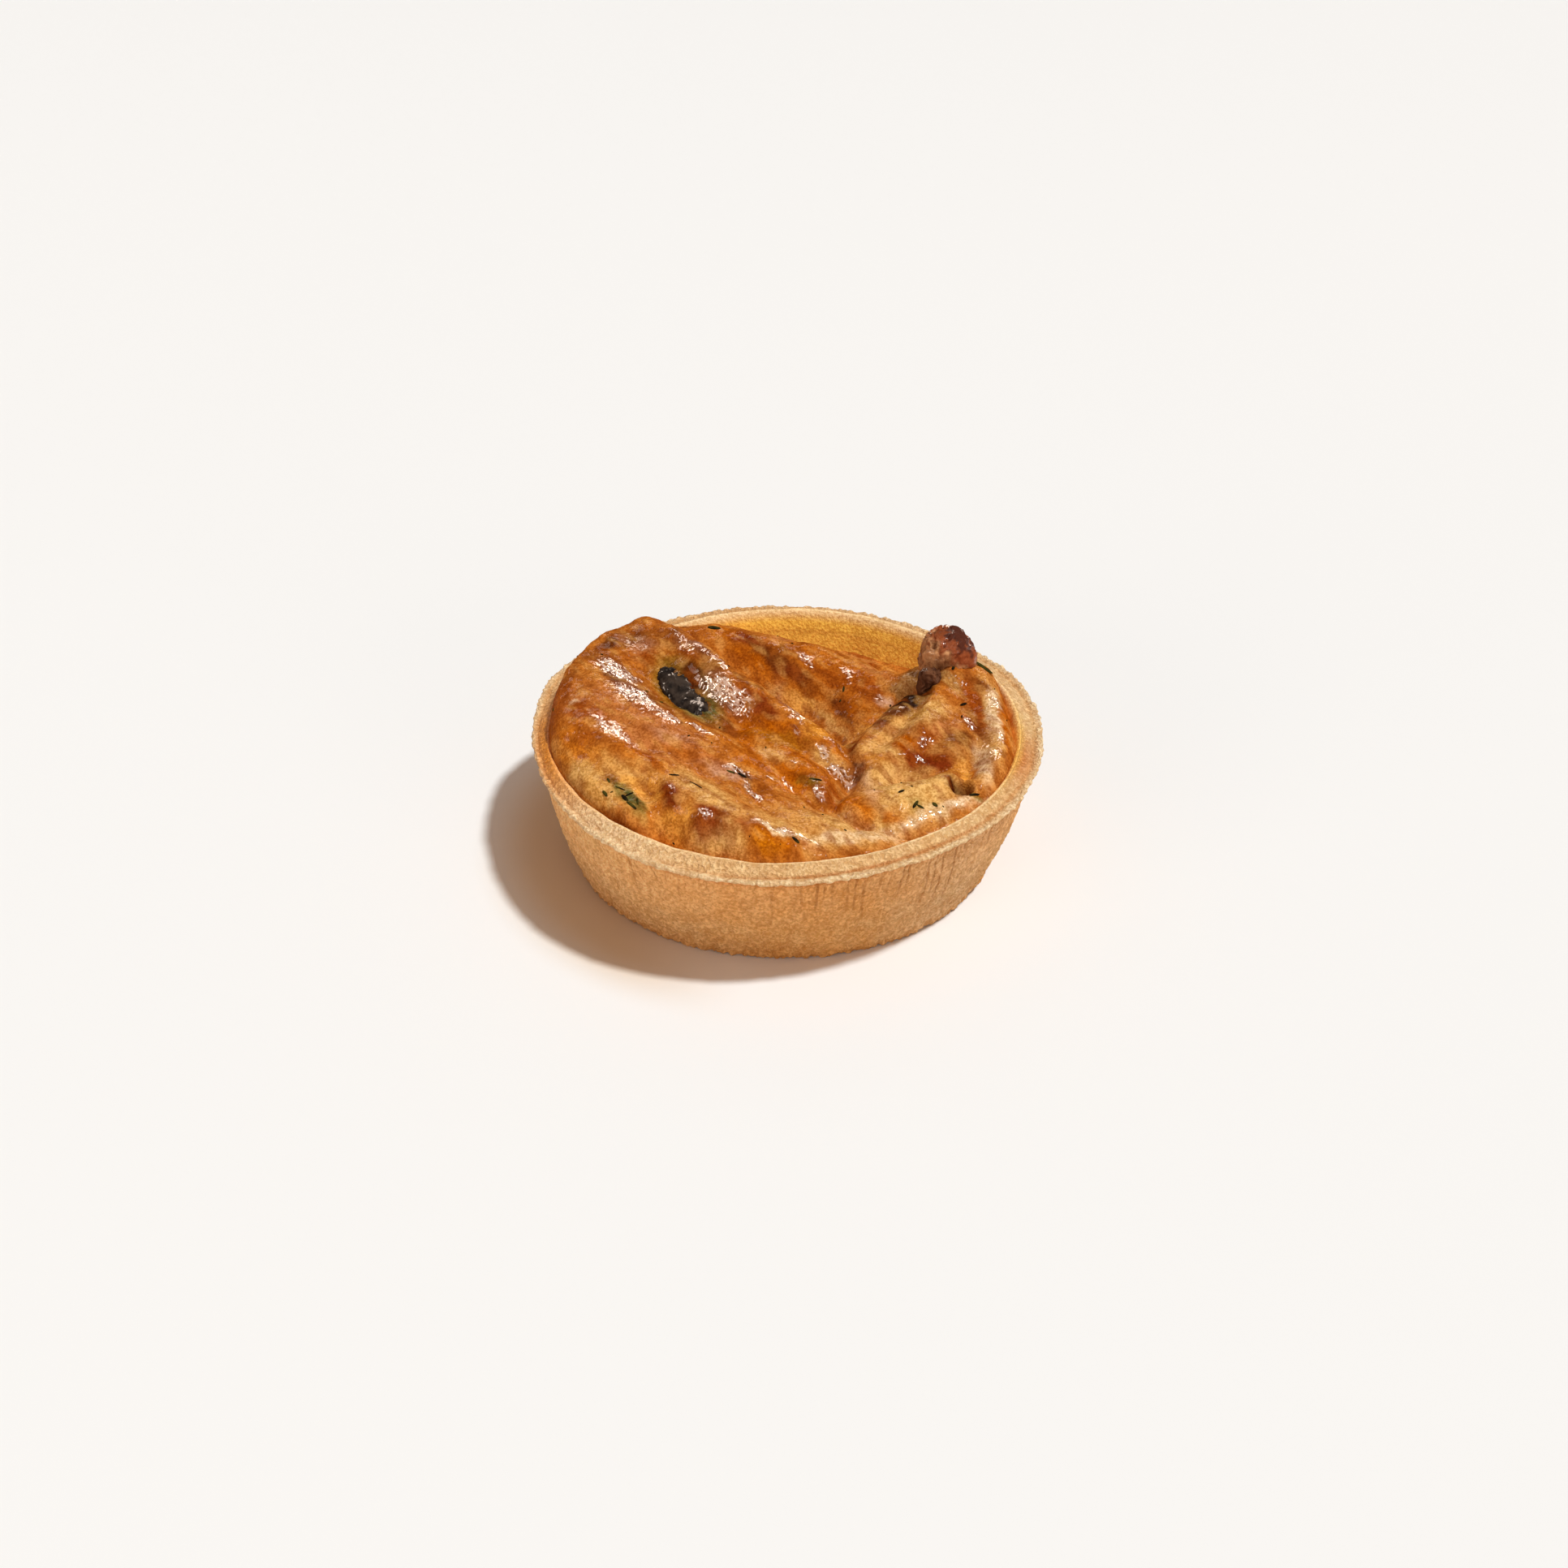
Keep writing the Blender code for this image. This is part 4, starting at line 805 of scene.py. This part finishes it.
lengthways = skin_flat @ np.array([[math.cos(turn), -math.sin(turn), 0], [math.sin(turn), math.cos(turn), 0], [0, 0, 1]])
streaks = soft_noise(lengthways * (0.4, 1, 1), 1.2, 29.0)
custard_colour = mix(custard_colour, TINTS["russet"] * 0.8, 0.5 * np.clip((streaks - 0.08) / 0.3, 0.0, 1.0))
custard_colour = mix(custard_colour, TINTS["straw"] * 1.1, 0.35 * np.clip((-streaks - 0.12) / 0.3, 0.0, 1.0))
# Partly browned edge, partly painted shade: the colour darkens within 0.7 mm of the edge, most at the left front where
# the custard meets the crust.
custard_colour = mix(custard_colour, TINTS["burnt"], falloff(from_edge / 0.7) * (0.15 + 0.45 * left_front))
add_colours(custard, "bake", custard_colour)

Sheen = namedtuple("Sheen", "x y long wide heading strength")
GLOSSY = (
    # the left dome
    Sheen(-24.3, 7.9, 5, 2.3, -45, 1), Sheen(-21.3, -0.1, 5.6, 2.6, -50, 1),
    Sheen(-17.2, -3.9, 4.1, 1.6, -30, 1), Sheen(-11.9, -6, 3.3, 0.6, -40, 0.9),
    Sheen(-24.1, -8.9, 5.6, 1.3, -45, 0.85), Sheen(-22.3, 15.6, 4.2, 1.4, -45, 0.2),
    Sheen(-6.9, -14.8, 2.7, 0.7, -15, 0.9), Sheen(-4.5, -19.5, 2.9, 0.8, -70, 1),
    # the long ridge and the slope below it
    Sheen(-13.2, 12.7, 5.8, 1.4, -50, 0.5), Sheen(-8.5, 3.1, 5.9, 1.9, -45, 1),
    Sheen(-9.6, 8.8, 2.4, 0.6, -70, 0.9), Sheen(-5.2, -0.3, 1.7, 0.6, -65, 0.9),
    Sheen(0.9, 4.7, 10.9, 1.8, -80, 1), Sheen(1.6, -5.7, 1.5, 0.5, -40, 0.9),
    Sheen(7, -6.5, 3.3, 0.6, -10, 0.7), Sheen(5.7, -9.4, 2.4, 0.9, -45, 0.9),
    Sheen(5, -18.2, 1.9, 0.8, -60, 0.8), Sheen(8, -12.1, 2.3, 1.2, -25, 1),
    Sheen(1.3, -12.2, 0.9, 0.4, -35, 0.9), Sheen(-1.9, -15.8, 1.1, 0.4, 5, 0.8),
    Sheen(0.4, -15.9, 1.7, 0.4, -75, 0.9),
    # the front
    Sheen(-10.7, -27.7, 1, 0.5, -15, 0.9), Sheen(-15.3, -22.7, 1, 0.4, -60, 0.6),
    Sheen(0.3, -29.8, 5, 0.5, -10, 0.8), Sheen(21, -22.9, 7.1, 0.6, 30, 0.45),
    # the right-hand folds
    Sheen(19.7, -7, 1.7, 0.5, -10, 0.7), Sheen(19.6, -9.8, 1.1, 0.6, -35, 1),
    Sheen(26.8, -2.6, 1.4, 0.6, -70, 0.9), Sheen(30.9, 2.1, 3, 0.7, -70, 0.55),
    Sheen(30.9, -6.1, 1.9, 0.6, -80, 0.8), Sheen(29.6, -9.3, 3.8, 0.7, -75, 0.5),
    Sheen(15.8, 0.5, 2, 0.7, 10, 0.3),
    # the mound at the back
    Sheen(3.5, 18.5, 3, 0.7, -60, 0.8), Sheen(9.3, 14.8, 2.6, 0.8, -75, 0.8),
    Sheen(14.4, 8.9, 0.9, 0.5, -65, 0.7), Sheen(-1.1, 21.6, 2.1, 0.7, -40, 0.12),
)
gloss = np.full(len(custard_points), 0.03)
for sheen in GLOSSY:
    heading = math.radians(sheen.heading)
    dx, dy = custard_points[:, 0] + drift_x - sheen.x, custard_points[:, 1] + drift_y - sheen.y
    along = (dx * math.cos(heading) + dy * math.sin(heading)) / sheen.long
    across = (dy * math.cos(heading) - dx * math.sin(heading)) / sheen.wide
    gloss = np.maximum(gloss, sheen.strength * np.clip(1.6 * falloff(np.hypot(along, across) / 1.3), 0.0, 1.0))
add_values(custard, "gloss", gloss)
add_values(custard, "wrinkled", (0.12 + 0.88 * gloss) * np.clip(from_edge / 1.5, 0.0, 1.0))

# The nodes: the shrunken skin is creased along the folds, and grainy all over
relief, given, result = new_tree("shrunken_skin", [
    ("Wrinkle Length", "NodeSocketFloat"), ("Wrinkle Width", "NodeSocketFloat"), ("Wrinkle Depth", "NodeSocketFloat"), ("Wrinkle Height", "NodeSocketFloat"),
    ("Heading", "NodeSocketFloat"), ("Curd Size", "NodeSocketFloat"), ("Curd Depth", "NodeSocketFloat"),
    ("Seed", "NodeSocketFloat"), ("Material", "NodeSocketMaterial"),
])
place = put(relief, "GeometryNodeInputPosition").outputs[0]
turned = put(
    relief, "ShaderNodeVectorRotate", {"Vector": place, "Angle": maths(relief, "MULTIPLY", given["Heading"], -1.0)},
    rotation_type="Z_AXIS",
).outputs[0]
wander = put(relief, "ShaderNodeTexNoise", {"Vector": place, "Scale": 500.0, "Detail": 1.0}).outputs["Color"]
wander = put(relief, "ShaderNodeVectorMath", {0: wander, "Scale": 0.0028}, operation="SCALE").outputs[0]
turned = put(relief, "ShaderNodeVectorMath", {0: turned, 1: wander}, operation="ADD").outputs[0]
stretch = put(relief, "ShaderNodeCombineXYZ", {
    0: maths(relief, "DIVIDE", 1.0, given["Wrinkle Length"]), 1: maths(relief, "DIVIDE", 1.0, given["Wrinkle Width"]),
    2: maths(relief, "DIVIDE", 1.0, given["Wrinkle Height"]),
}).outputs[0]
pulled = put(relief, "ShaderNodeVectorMath", {0: turned, 1: stretch}, operation="MULTIPLY").outputs[0]
folded = put(
    relief, "ShaderNodeTexNoise", {"Vector": pulled, "W": given["Seed"], "Scale": 1.0, "Detail": 1.5, "Roughness": 0.6},
    noise_dimensions="4D",
).outputs[0]
crest = maths(relief, "SUBTRACT", 1.0, maths(relief, "MULTIPLY", maths(relief, "ABSOLUTE", maths(relief, "SUBTRACT", folded, 0.5)), 6.0))
crest = maths(relief, "MAXIMUM", crest, 0.0)
wrinkle = maths(relief, "MULTIPLY", maths(relief, "SUBTRACT", crest, 0.5), given["Wrinkle Depth"])
wrinkle = maths(relief, "MULTIPLY", wrinkle, stored(relief, "wrinkled"))
curd = put(
    relief, "ShaderNodeTexNoise", {"Vector": place, "Scale": maths(relief, "DIVIDE", 1.0, given["Curd Size"]), "Detail": 2.0}
).outputs[0]
curd = maths(relief, "MULTIPLY", maths(relief, "SUBTRACT", curd, 0.5), given["Curd Depth"])
top_only = ramp(relief, put(relief, "ShaderNodeSeparateXYZ", {0: place}).outputs[2], 0.0125, 0.0135)
rise = maths(relief, "MULTIPLY", maths(relief, "ADD", wrinkle, curd), top_only)
moved = push_out(relief, given["Geometry"], place, rise)
kept = put(
    relief, "GeometryNodeStoreNamedAttribute", {"Geometry": moved, "Name": "crest", "Value": crest}, data_type="FLOAT"
).outputs[0]
finish_tree(relief, kept, given["Material"], result)
skin_relief = relief

custard_skin, shade, skin, spot = new_material("custard_skin")
shine = carried(shade, "gloss")
pores = grain(shade, spot, 0.22, 2.0, 0.6)
curds = maths(shade, "ADD", maths(shade, "MULTIPLY", pores, 0.6), maths(shade, "MULTIPLY", grain(shade, spot, 0.9, 2.0, 0.6), 0.4))
tone = blend_colour(shade, ramp(shade, curds, 0.38, 0.62), (0.74, 0.63, 0.47, 1), (1.24, 1.31, 1.45, 1))
colour = blend_colour(shade, 1.0, carried(shade, "bake", True), tone, "MULTIPLY")
toast = ramp(shade, grain(shade, spot, 0.8, 3.0, 0.65), 0.5, 0.66)
colour = blend_colour(shade, maths(shade, "MULTIPLY", toast, 0.18), colour, (*screen(158, 72, 10), 1))
# Painted shade: the colour darkens in the furrows between the wrinkle crests.
furrow = maths(shade, "MULTIPLY", maths(shade, "SUBTRACT", 1.0, carried(shade, "crest")), carried(shade, "wrinkled"))
colour = blend_colour(shade, maths(shade, "MULTIPLY", furrow, 0.5), colour, (*screen(112, 50, 14), 1))
shade.links.new(ramp(shade, shine, 0.0, 1.0, 0.7, 0.5), skin.inputs["Roughness"])
skin.inputs["Coat Roughness"].default_value = 0.1
skin.inputs["Coat IOR"].default_value = 1.8
skin.inputs["Specular IOR Level"].default_value = 0.0
along = put(shade, "ShaderNodeVectorRotate", {"Vector": spot, "Angle": math.radians(50)}, rotation_type="Z_AXIS").outputs[0]
along = put(shade, "ShaderNodeVectorMath", {0: along, 1: (0.4, 1.0, 1.0)}, operation="MULTIPLY").outputs[0]
strokes = maths(shade, "ABSOLUTE", maths(shade, "SUBTRACT", grain(shade, along, 0.5, 2.0, 0.55), 0.5))
strokes = maths(shade, "MULTIPLY", maths(shade, "SUBTRACT", 1.0, maths(shade, "MULTIPLY", strokes, 5.0)), shine)
# Painted shade: in the glossy zones the colour darkens where the strokes are low.
painted_furrow_shade = maths(shade, "MULTIPLY", ramp(shade, strokes, 0.1, 0.5, 1.0, 0.0), ramp(shade, shine, 0.35, 0.8))
colour = blend_colour(shade, maths(shade, "MULTIPLY", painted_furrow_shade, 0.6), colour, (*screen(120, 58, 22), 1))
# Painted highlight: pale pink-white strokes in the glossy zones.
painted_highlight = maths(shade, "MULTIPLY", ramp(shade, strokes, 0.4, 0.85), 0.5)
colour = blend_colour(shade, painted_highlight, colour, (*screen(255, 226, 206), 1))
film = maths(shade, "ADD", maths(shade, "MULTIPLY", shine, 0.25), maths(shade, "MULTIPLY", maths(shade, "MAXIMUM", strokes, 0.0), 0.75))
shade.links.new(colour, skin.inputs["Base Color"])
shade.links.new(film, skin.inputs["Coat Weight"])
pits = maths(shade, "MULTIPLY", pores, ramp(shade, shine, 0.0, 1.0, 0.7, 0.25))
lift = maths(shade, "ADD", pits, maths(shade, "MULTIPLY", strokes, 0.6))
shade.links.new(
    put(shade, "ShaderNodeBump", {"Height": lift, "Strength": 1.0, "Distance": 0.22 * MM}).outputs[0], skin.inputs["Normal"]
)

run_tree(custard, skin_relief, wrinkle_length=2.2 * MM, wrinkle_width=0.9 * MM, wrinkle_height=0.9 * MM,
         wrinkle_depth=0.42 * MM,
         heading=math.radians(-50), curd_size=2.2 * MM, curd_depth=0.5 * MM, seed=2.0, material=custard_skin)
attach(custard, "root")
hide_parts("custard_filling")

# ---- mushroom ----
# Three roasted pieces of a brown mushroom: a stalk that stands in the custard at the back right,
# the dark cut face of its cap in front of it, and a slice lying gills up between the left folds.

Lump = namedtuple("Lump", "name node sections")

LUMPS = (
    Lump("roasted_stalk", "mushroom_stalk", (
        (24.4, 12.3, 18.0, 2.6, 2.2), (24.4, 12.3, 19.5, 3.6, 2.8), (24.3, 12.2, 22.0, 4.1, 3.0),
        (24.2, 12.0, 24.2, 4.1, 3.1), (23.9, 11.9, 26.0, 3.5, 3.0), (23.7, 11.8, 27.2, 2.9, 2.6),
        (23.6, 11.7, 27.9, 2.3, 2.1), (23.5, 11.7, 28.3, 1.4, 1.3),
    )),
    Lump("roasted_cap_end", "mushroom_cap_end", (
        (21.2, 6.4, 20.0, 0.8, 0.6), (21.2, 6.5, 20.5, 1.4, 1.0), (21.3, 6.7, 22.0, 1.7, 1.1),
        (21.4, 6.9, 23.5, 1.6, 1.1), (21.4, 7.0, 24.4, 1.2, 0.9), (21.4, 7.0, 24.7, 0.6, 0.5),
    )),
    Lump("roasted_slice", "mushroom_slice", (
        (-17.6, 10.6, 22.8, 0.9, 0.6), (-17.1, 9.6, 22.25, 1.9, 1.2), (-15.9, 7.4, 21.75, 2.6, 1.5),
        (-14.6, 5.0, 21.0, 2.8, 1.4), (-13.2, 2.8, 20.5, 2.6, 1.5), (-11.9, 0.7, 20.55, 1.9, 1.2),
        (-11.3, -0.3, 20.7, 0.9, 0.6),
    )),
)
LUMP_SIDES = 72


def lump_piece(lump):
    """Cross-sections strung on their run, closed at both ends."""
    sections = curve_weights([10] * (len(lump.sections) - 1)) @ np.array(lump.sections)
    middles = sections[:, :3]
    runs = np.gradient(middles, axis=0)
    runs /= np.linalg.norm(runs, axis=1)[:, None]
    upright = abs(runs[len(runs) // 2][2]) > 0.7
    turn = 2 * math.pi * np.arange(LUMP_SIDES) / LUMP_SIDES
    c, s = np.cos(turn), np.sin(turn)
    blunt = (np.abs(c) ** 2.5 + np.abs(s) ** 2.5) ** (-1 / 2.5)
    points = []
    for section, middle, run in zip(sections, middles, runs):
        across = np.cross(run, (0, 1, 0) if upright else (0, 0, 1))
        across /= np.linalg.norm(across)
        through = np.cross(run, across)
        points.append(middle + np.outer(c * blunt * section[3], across) + np.outer(s * blunt * section[4], through))
    count = len(points)
    faces = []
    for i in range(count - 1):
        for k in range(LUMP_SIDES):
            n = (k + 1) % LUMP_SIDES
            faces.append((i * LUMP_SIDES + k, i * LUMP_SIDES + n, (i + 1) * LUMP_SIDES + n, (i + 1) * LUMP_SIDES + k))
    faces.append(list(range(LUMP_SIDES))[::-1])
    faces.append(list(range((count - 1) * LUMP_SIDES, count * LUMP_SIDES)))
    piece = mesh_piece(lump.name, np.vstack(points), faces)
    add_values(piece, "wrinkled", np.ones(count * LUMP_SIDES))
    return piece


def roasted(name, dark, light, scorch, tip, tip_height, wet):
    """Roasted mushroom: streaked from dark to light, with lighter wrinkle crests as painted light, scorched and at last
    charred towards tip_height.
    """
    material, shade, skin, spot = new_material(name)
    streaks = put(shade, "ShaderNodeVectorMath", {0: spot, 1: (1.0, 1.0, 0.35)}, operation="MULTIPLY").outputs[0]
    streak_and_crest_light = maths(shade, "MULTIPLY", ramp(shade, grain(shade, streaks, 0.9, 3.0), 0.36, 0.62), 0.7)
    # Painted light: the colour is lighter on the wrinkle crests and darker in their furrows.
    streak_and_crest_light = maths(shade, "ADD", streak_and_crest_light, maths(shade, "MULTIPLY", carried(shade, "crest"), 0.3))
    colour = blend_colour(shade, streak_and_crest_light, (*dark, 1), (*light, 1))
    high = put(shade, "ShaderNodeSeparateXYZ", {0: spot}).outputs
    side = maths(shade, "ADD", high[2], maths(shade, "MULTIPLY", maths(shade, "SUBTRACT", high[0], 0.0242), 0.7))
    uneven = maths(shade, "SUBTRACT", grain(shade, spot, 1.3, 3.0), 0.5)
    side = maths(shade, "ADD", side, maths(shade, "MULTIPLY", uneven, 0.008))
    colour = blend_colour(shade, ramp(shade, side, (tip_height - 3) * MM, (tip_height - 0.8) * MM), colour, (*scorch, 1))
    colour = blend_colour(shade, ramp(shade, side, tip_height * MM, (tip_height + 1.2) * MM), colour, (*tip, 1))
    shade.links.new(colour, skin.inputs["Base Color"])
    shade.links.new(ramp(shade, grain(shade, spot, 1.0, 2.0), 0.5, 0.62, 0.0, wet), skin.inputs["Coat Weight"])
    skin.inputs["Roughness"].default_value = 0.7
    skin.inputs["Specular IOR Level"].default_value = 0.0
    skin.inputs["Coat Roughness"].default_value = 0.15
    lift = maths(shade, "ADD", grain(shade, streaks, 0.5, 3.0), grain(shade, spot, 0.3, 2.0))
    bump = put(shade, "ShaderNodeBump", {"Height": lift, "Strength": 0.9, "Distance": 0.2 * MM})
    shade.links.new(bump.outputs[0], skin.inputs["Normal"])
    return material


FLESH = {
    "mushroom_stalk": roasted(
        "roasted_stalk", screen(122, 76, 46), screen(222, 164, 114), screen(154, 80, 46), screen(90, 48, 36), 27.7, 0.9
    ),
    "mushroom_cap_end": roasted(
        "roasted_cap_end", screen(66, 38, 26), screen(120, 78, 54), screen(66, 38, 26), screen(66, 38, 26), 60.0, 0.5
    ),
    "mushroom_slice": roasted(
        "roasted_slice", screen(22, 18, 17), screen(68, 56, 48), screen(24, 18, 15), screen(24, 18, 15), 60.0, 0.4
    ),
}
# wrinkle length, width, height and depth, and how lumpy the flesh is
WRINKLES = {
    "mushroom_stalk": (0.9, 0.9, 4.0, 0.5, 0.7), "mushroom_cap_end": (0.8, 0.8, 2.4, 0.35, 0.4),
    "mushroom_slice": (3.0, 0.5, 0.5, 0.25, 0.2),
}
for lump in LUMPS:
    piece = lump_piece(lump)
    length, width, height, depth, lumpy = np.array(WRINKLES[lump.node]) * MM
    run_tree(piece, skin_relief, wrinkle_length=length, wrinkle_width=width, wrinkle_height=height, wrinkle_depth=depth,
             heading=math.radians(30), curd_size=1.3 * MM, curd_depth=lumpy, seed=4.0, material=FLESH[lump.node])
    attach(piece, "root")
    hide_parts(lump.node)

# ---- chopped herbs ----
# Snips of green leaf stirred into the custard, baked dark where they reach the skin. Most are a
# millimetre or two long, and each lies along the skin, half sunk in it.

Fleck = namedtuple("Fleck", "x y length width heading")

FLECKS = (
    Fleck(-10.7, 27.0, 2.1, 0.9, 5), Fleck(29.6, 10.9, 3.8, 0.8, -45), Fleck(18.2, -22.1, 1.5, 0.5, 60),
    Fleck(18.9, -22.4, 1.3, 0.4, -30), Fleck(20.9, -21.8, 1.1, 0.6, -50), Fleck(26.6, -18.6, 1.8, 0.5, 25),
    Fleck(-22.0, -22.2, 1.7, 0.6, -55), Fleck(-21.0, -23.6, 1.9, 0.5, -40), Fleck(-24.8, -20.9, 1.4, 0.5, -60),
    Fleck(-24.4, -18.9, 1.1, 0.4, -70), Fleck(-15.3, -18.9, 1.6, 0.3, -5), Fleck(-12.2, -21.3, 3.0, 0.25, -50),
    Fleck(-7.4, -15.5, 1.8, 0.4, -25), Fleck(-5.8, -16.1, 1.7, 0.5, -30), Fleck(1.6, -31.3, 1.4, 0.5, -40),
    Fleck(4.4, -15.8, 2.0, 0.5, -10), Fleck(8.9, 12.0, 1.3, 0.4, 80), Fleck(26.1, 1.8, 1.1, 0.5, 20),
    Fleck(-22.7, -20.4, 1.6, 0.25, -20), Fleck(-21.4, -21.4, 1.5, 0.25, 40), Fleck(-20.2, -22.8, 1.3, 0.3, -80),
    Fleck(16.3, -20.0, 1.1, 0.4, 30), Fleck(25.6, 10.0, 1.2, 0.8, 20), Fleck(24.9, 8.6, 0.9, 0.5, 70),
)
herb_x, herb_y = np.array([(fleck.x, fleck.y) for fleck in FLECKS]).T
herb_spots = mesh_piece("herb_flecks", np.stack([herb_x, herb_y, custard_height(herb_x, herb_y)], -1), [])
for field in ("length", "width"):
    add_values(herb_spots, field, [getattr(fleck, field) * MM for fleck in FLECKS])
add_values(herb_spots, "heading", [math.radians(fleck.heading) for fleck in FLECKS])

scatter, given, result = new_tree("scattered_leaf", [
    ("Skin", "NodeSocketObject"), ("Snips Per Square Metre", "NodeSocketFloat"), ("Snip Size", "NodeSocketFloat"),
    ("Thickness", "NodeSocketFloat"), ("Seed", "NodeSocketInt"), ("Material", "NodeSocketMaterial"),
])
custard_surface = put(scatter, "GeometryNodeObjectInfo", {"Object": given["Skin"]}).outputs["Geometry"]
upward = put(scatter, "ShaderNodeSeparateXYZ", {0: put(scatter, "GeometryNodeInputNormal").outputs[0]}).outputs[2]
facing = put(scatter, "FunctionNodeCompare", {0: upward, 1: 0.3}, operation="GREATER_THAN").outputs[0]
sprinkled = put(scatter, "GeometryNodeDistributePointsOnFaces", {
    "Mesh": custard_surface, "Selection": facing, "Density": given["Snips Per Square Metre"], "Seed": given["Seed"],
}).outputs["Points"]
draw = put(scatter, "FunctionNodeRandomValue", {2: 0.45, 3: 1.5, "Seed": given["Seed"]}, data_type="FLOAT").outputs[1]
snip = maths(scatter, "MULTIPLY", draw, given["Snip Size"])
for label, value in (("length", snip), ("width", maths(scatter, "MULTIPLY", snip, 0.45)),
                     ("heading", maths(scatter, "MULTIPLY", draw, 40.0))):
    sprinkled = put(scatter, "GeometryNodeStoreNamedAttribute", {"Geometry": sprinkled, "Name": label, "Value": value},
                    data_type="FLOAT").outputs[0]
named = put(scatter, "GeometryNodeMeshToPoints", {"Mesh": given["Geometry"]}).outputs[0]
both = put(scatter, "GeometryNodeJoinGeometry")
scatter.links.new(named, both.inputs[0])
scatter.links.new(sprinkled, both.inputs[0])
leaf = put(scatter, "GeometryNodeMeshIcoSphere", {"Radius": 0.5, "Subdivisions": 2}).outputs[0]
size = put(scatter, "ShaderNodeCombineXYZ", {0: stored(scatter, "length"), 1: stored(scatter, "width"), 2: given["Thickness"]})
face_up = put(
    scatter, "GeometryNodeSampleNearestSurface",
    {"Mesh": custard_surface, "Value": put(scatter, "GeometryNodeInputNormal").outputs[0]}, data_type="FLOAT_VECTOR",
).outputs[0]
spin = put(scatter, "ShaderNodeCombineXYZ", {2: stored(scatter, "heading")}).outputs[0]
tilt = put(scatter, "FunctionNodeAlignEulerToVector", {"Rotation": spin, "Vector": face_up}, axis="Z").outputs[0]
placed = put(scatter, "GeometryNodeInstanceOnPoints", {
    "Points": both.outputs[0], "Instance": leaf, "Rotation": tilt, "Scale": size.outputs[0],
}).outputs[0]
finish_tree(scatter, placed, given["Material"], result)

leaf_green, shade, skin, spot = new_material("baked_leaf")
colour = blend_colour(
    shade, ramp(shade, grain(shade, spot, 1.8), 0.42, 0.6), (*screen(30, 24, 16), 1), (*screen(74, 68, 28), 1)
)
shade.links.new(colour, skin.inputs["Base Color"])
skin.inputs["Roughness"].default_value = 0.7
skin.inputs["Specular IOR Level"].default_value = 0.0
run_tree(herb_spots, scatter, skin=custard, snips_per_square_metre=9000.0, snip_size=0.42 * MM, thickness=0.28 * MM,
         seed=5, material=leaf_green)
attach(herb_spots, "root")

# ---- floor, light and camera ----
# A pale seamless floor under a bright window at the upper right, with soft white boards round it.
# On the left, close beside the crust, the floor is painted darker and browner: a painted shadow.

floor = mesh_piece("studio_floor", [(-6000, -6000, 0), (6000, -6000, 0), (6000, 6000, 0), (-6000, 6000, 0)], [(0, 1, 2, 3)])
floor_paint, shade, skin, spot = new_material("studio_floor")
across = put(shade, "ShaderNodeVectorMath", {0: spot, 1: (1.0, 1.0, 0.0)}, operation="MULTIPLY").outputs[0]
away = put(shade, "ShaderNodeVectorMath", {0: across}, operation="LENGTH").outputs["Value"]
left = ramp(shade, put(shade, "ShaderNodeSeparateXYZ", {0: spot}).outputs[0], -0.026, -0.004, 1.0, 0.0)
# Painted shadow: a darker, browner patch on the floor close beside the crust on its left.
painted_warm_shadow = maths(shade, "MULTIPLY", ramp(shade, away, 0.036, 0.047, 1.0, 0.0), left)
shade.links.new(blend_colour(shade, painted_warm_shadow, (0.887, 0.889, 0.888, 1), (0.71, 0.56, 0.4, 1)), skin.inputs["Base Color"])
skin.inputs["Roughness"].default_value = 0.9
skin.inputs["Specular IOR Level"].default_value = 0.1
floor.data.materials.append(floor_paint)

AIM = Vector((0, 0, 9.3)) * MM


def aimed(name, lamp, place_mm):
    """Puts a lamp in place, facing the quiche, and returns it."""
    holder = bpy.data.objects.new(name, lamp)
    holder.location = Vector(place_mm) * MM
    holder.rotation_euler = (AIM - holder.location).to_track_quat("-Z", "Y").to_euler()
    bpy.context.scene.collection.objects.link(holder)
    return holder


window = bpy.data.lights.new("window", "SUN")
window.angle = math.radians(5.5)
window.energy = 2.6
window.color = (0.94, 0.99, 1.0)
aimed("window", window, (330, -60, 740))
for board, place_mm, width_mm, power in (
    ("front_left_board", (-860, -840, 220), 700, 3.2),
    ("front_right_board", (720, -1000, 220), 700, 2.6),
):
    softbox = bpy.data.lights.new(board, "AREA")
    softbox.size = width_mm * MM
    softbox.energy = power
    softbox.color = (1.0, 0.86, 0.74)
    aimed(board, softbox, place_mm)
for glint, place_mm, width_mm, power in (
    ("rear_right_glint", (380, 620, 420), 260, 5.0),
    ("rear_left_glint", (-420, 600, 460), 260, 5.0),
    ("rear_glint", (0, 700, 520), 260, 5.0),
    ("left_glint", (-700, 60, 520), 260, 7.0),
):
    strip = bpy.data.lights.new(glint, "AREA")
    strip.size = width_mm * MM
    strip.energy = power
    strip.color = (1.0, 0.8, 0.66)
    aimed(glint, strip, place_mm).visible_diffuse = False

world = bpy.data.worlds.new("studio")
world.use_nodes = True
world.node_tree.nodes["Background"].inputs["Color"].default_value = (1.0, 0.8, 0.68, 1)
world.node_tree.nodes["Background"].inputs["Strength"].default_value = 0.28
bpy.context.scene.world = world
bpy.context.scene.view_settings.view_transform = "Standard"

CAMERA_DISTANCE = 400 * MM
CAMERA_RISE = math.radians(32.6)
lens = bpy.data.cameras.new("camera")
lens.lens = 62.3
lens.sensor_width = 36.0
camera = bpy.data.objects.new("camera", lens)
camera.location = AIM + CAMERA_DISTANCE * Vector((0, -math.cos(CAMERA_RISE), math.sin(CAMERA_RISE)))
camera.rotation_euler = (AIM - camera.location).to_track_quat("-Z", "Y").to_euler()
bpy.context.scene.collection.objects.link(camera)
bpy.context.scene.camera = camera
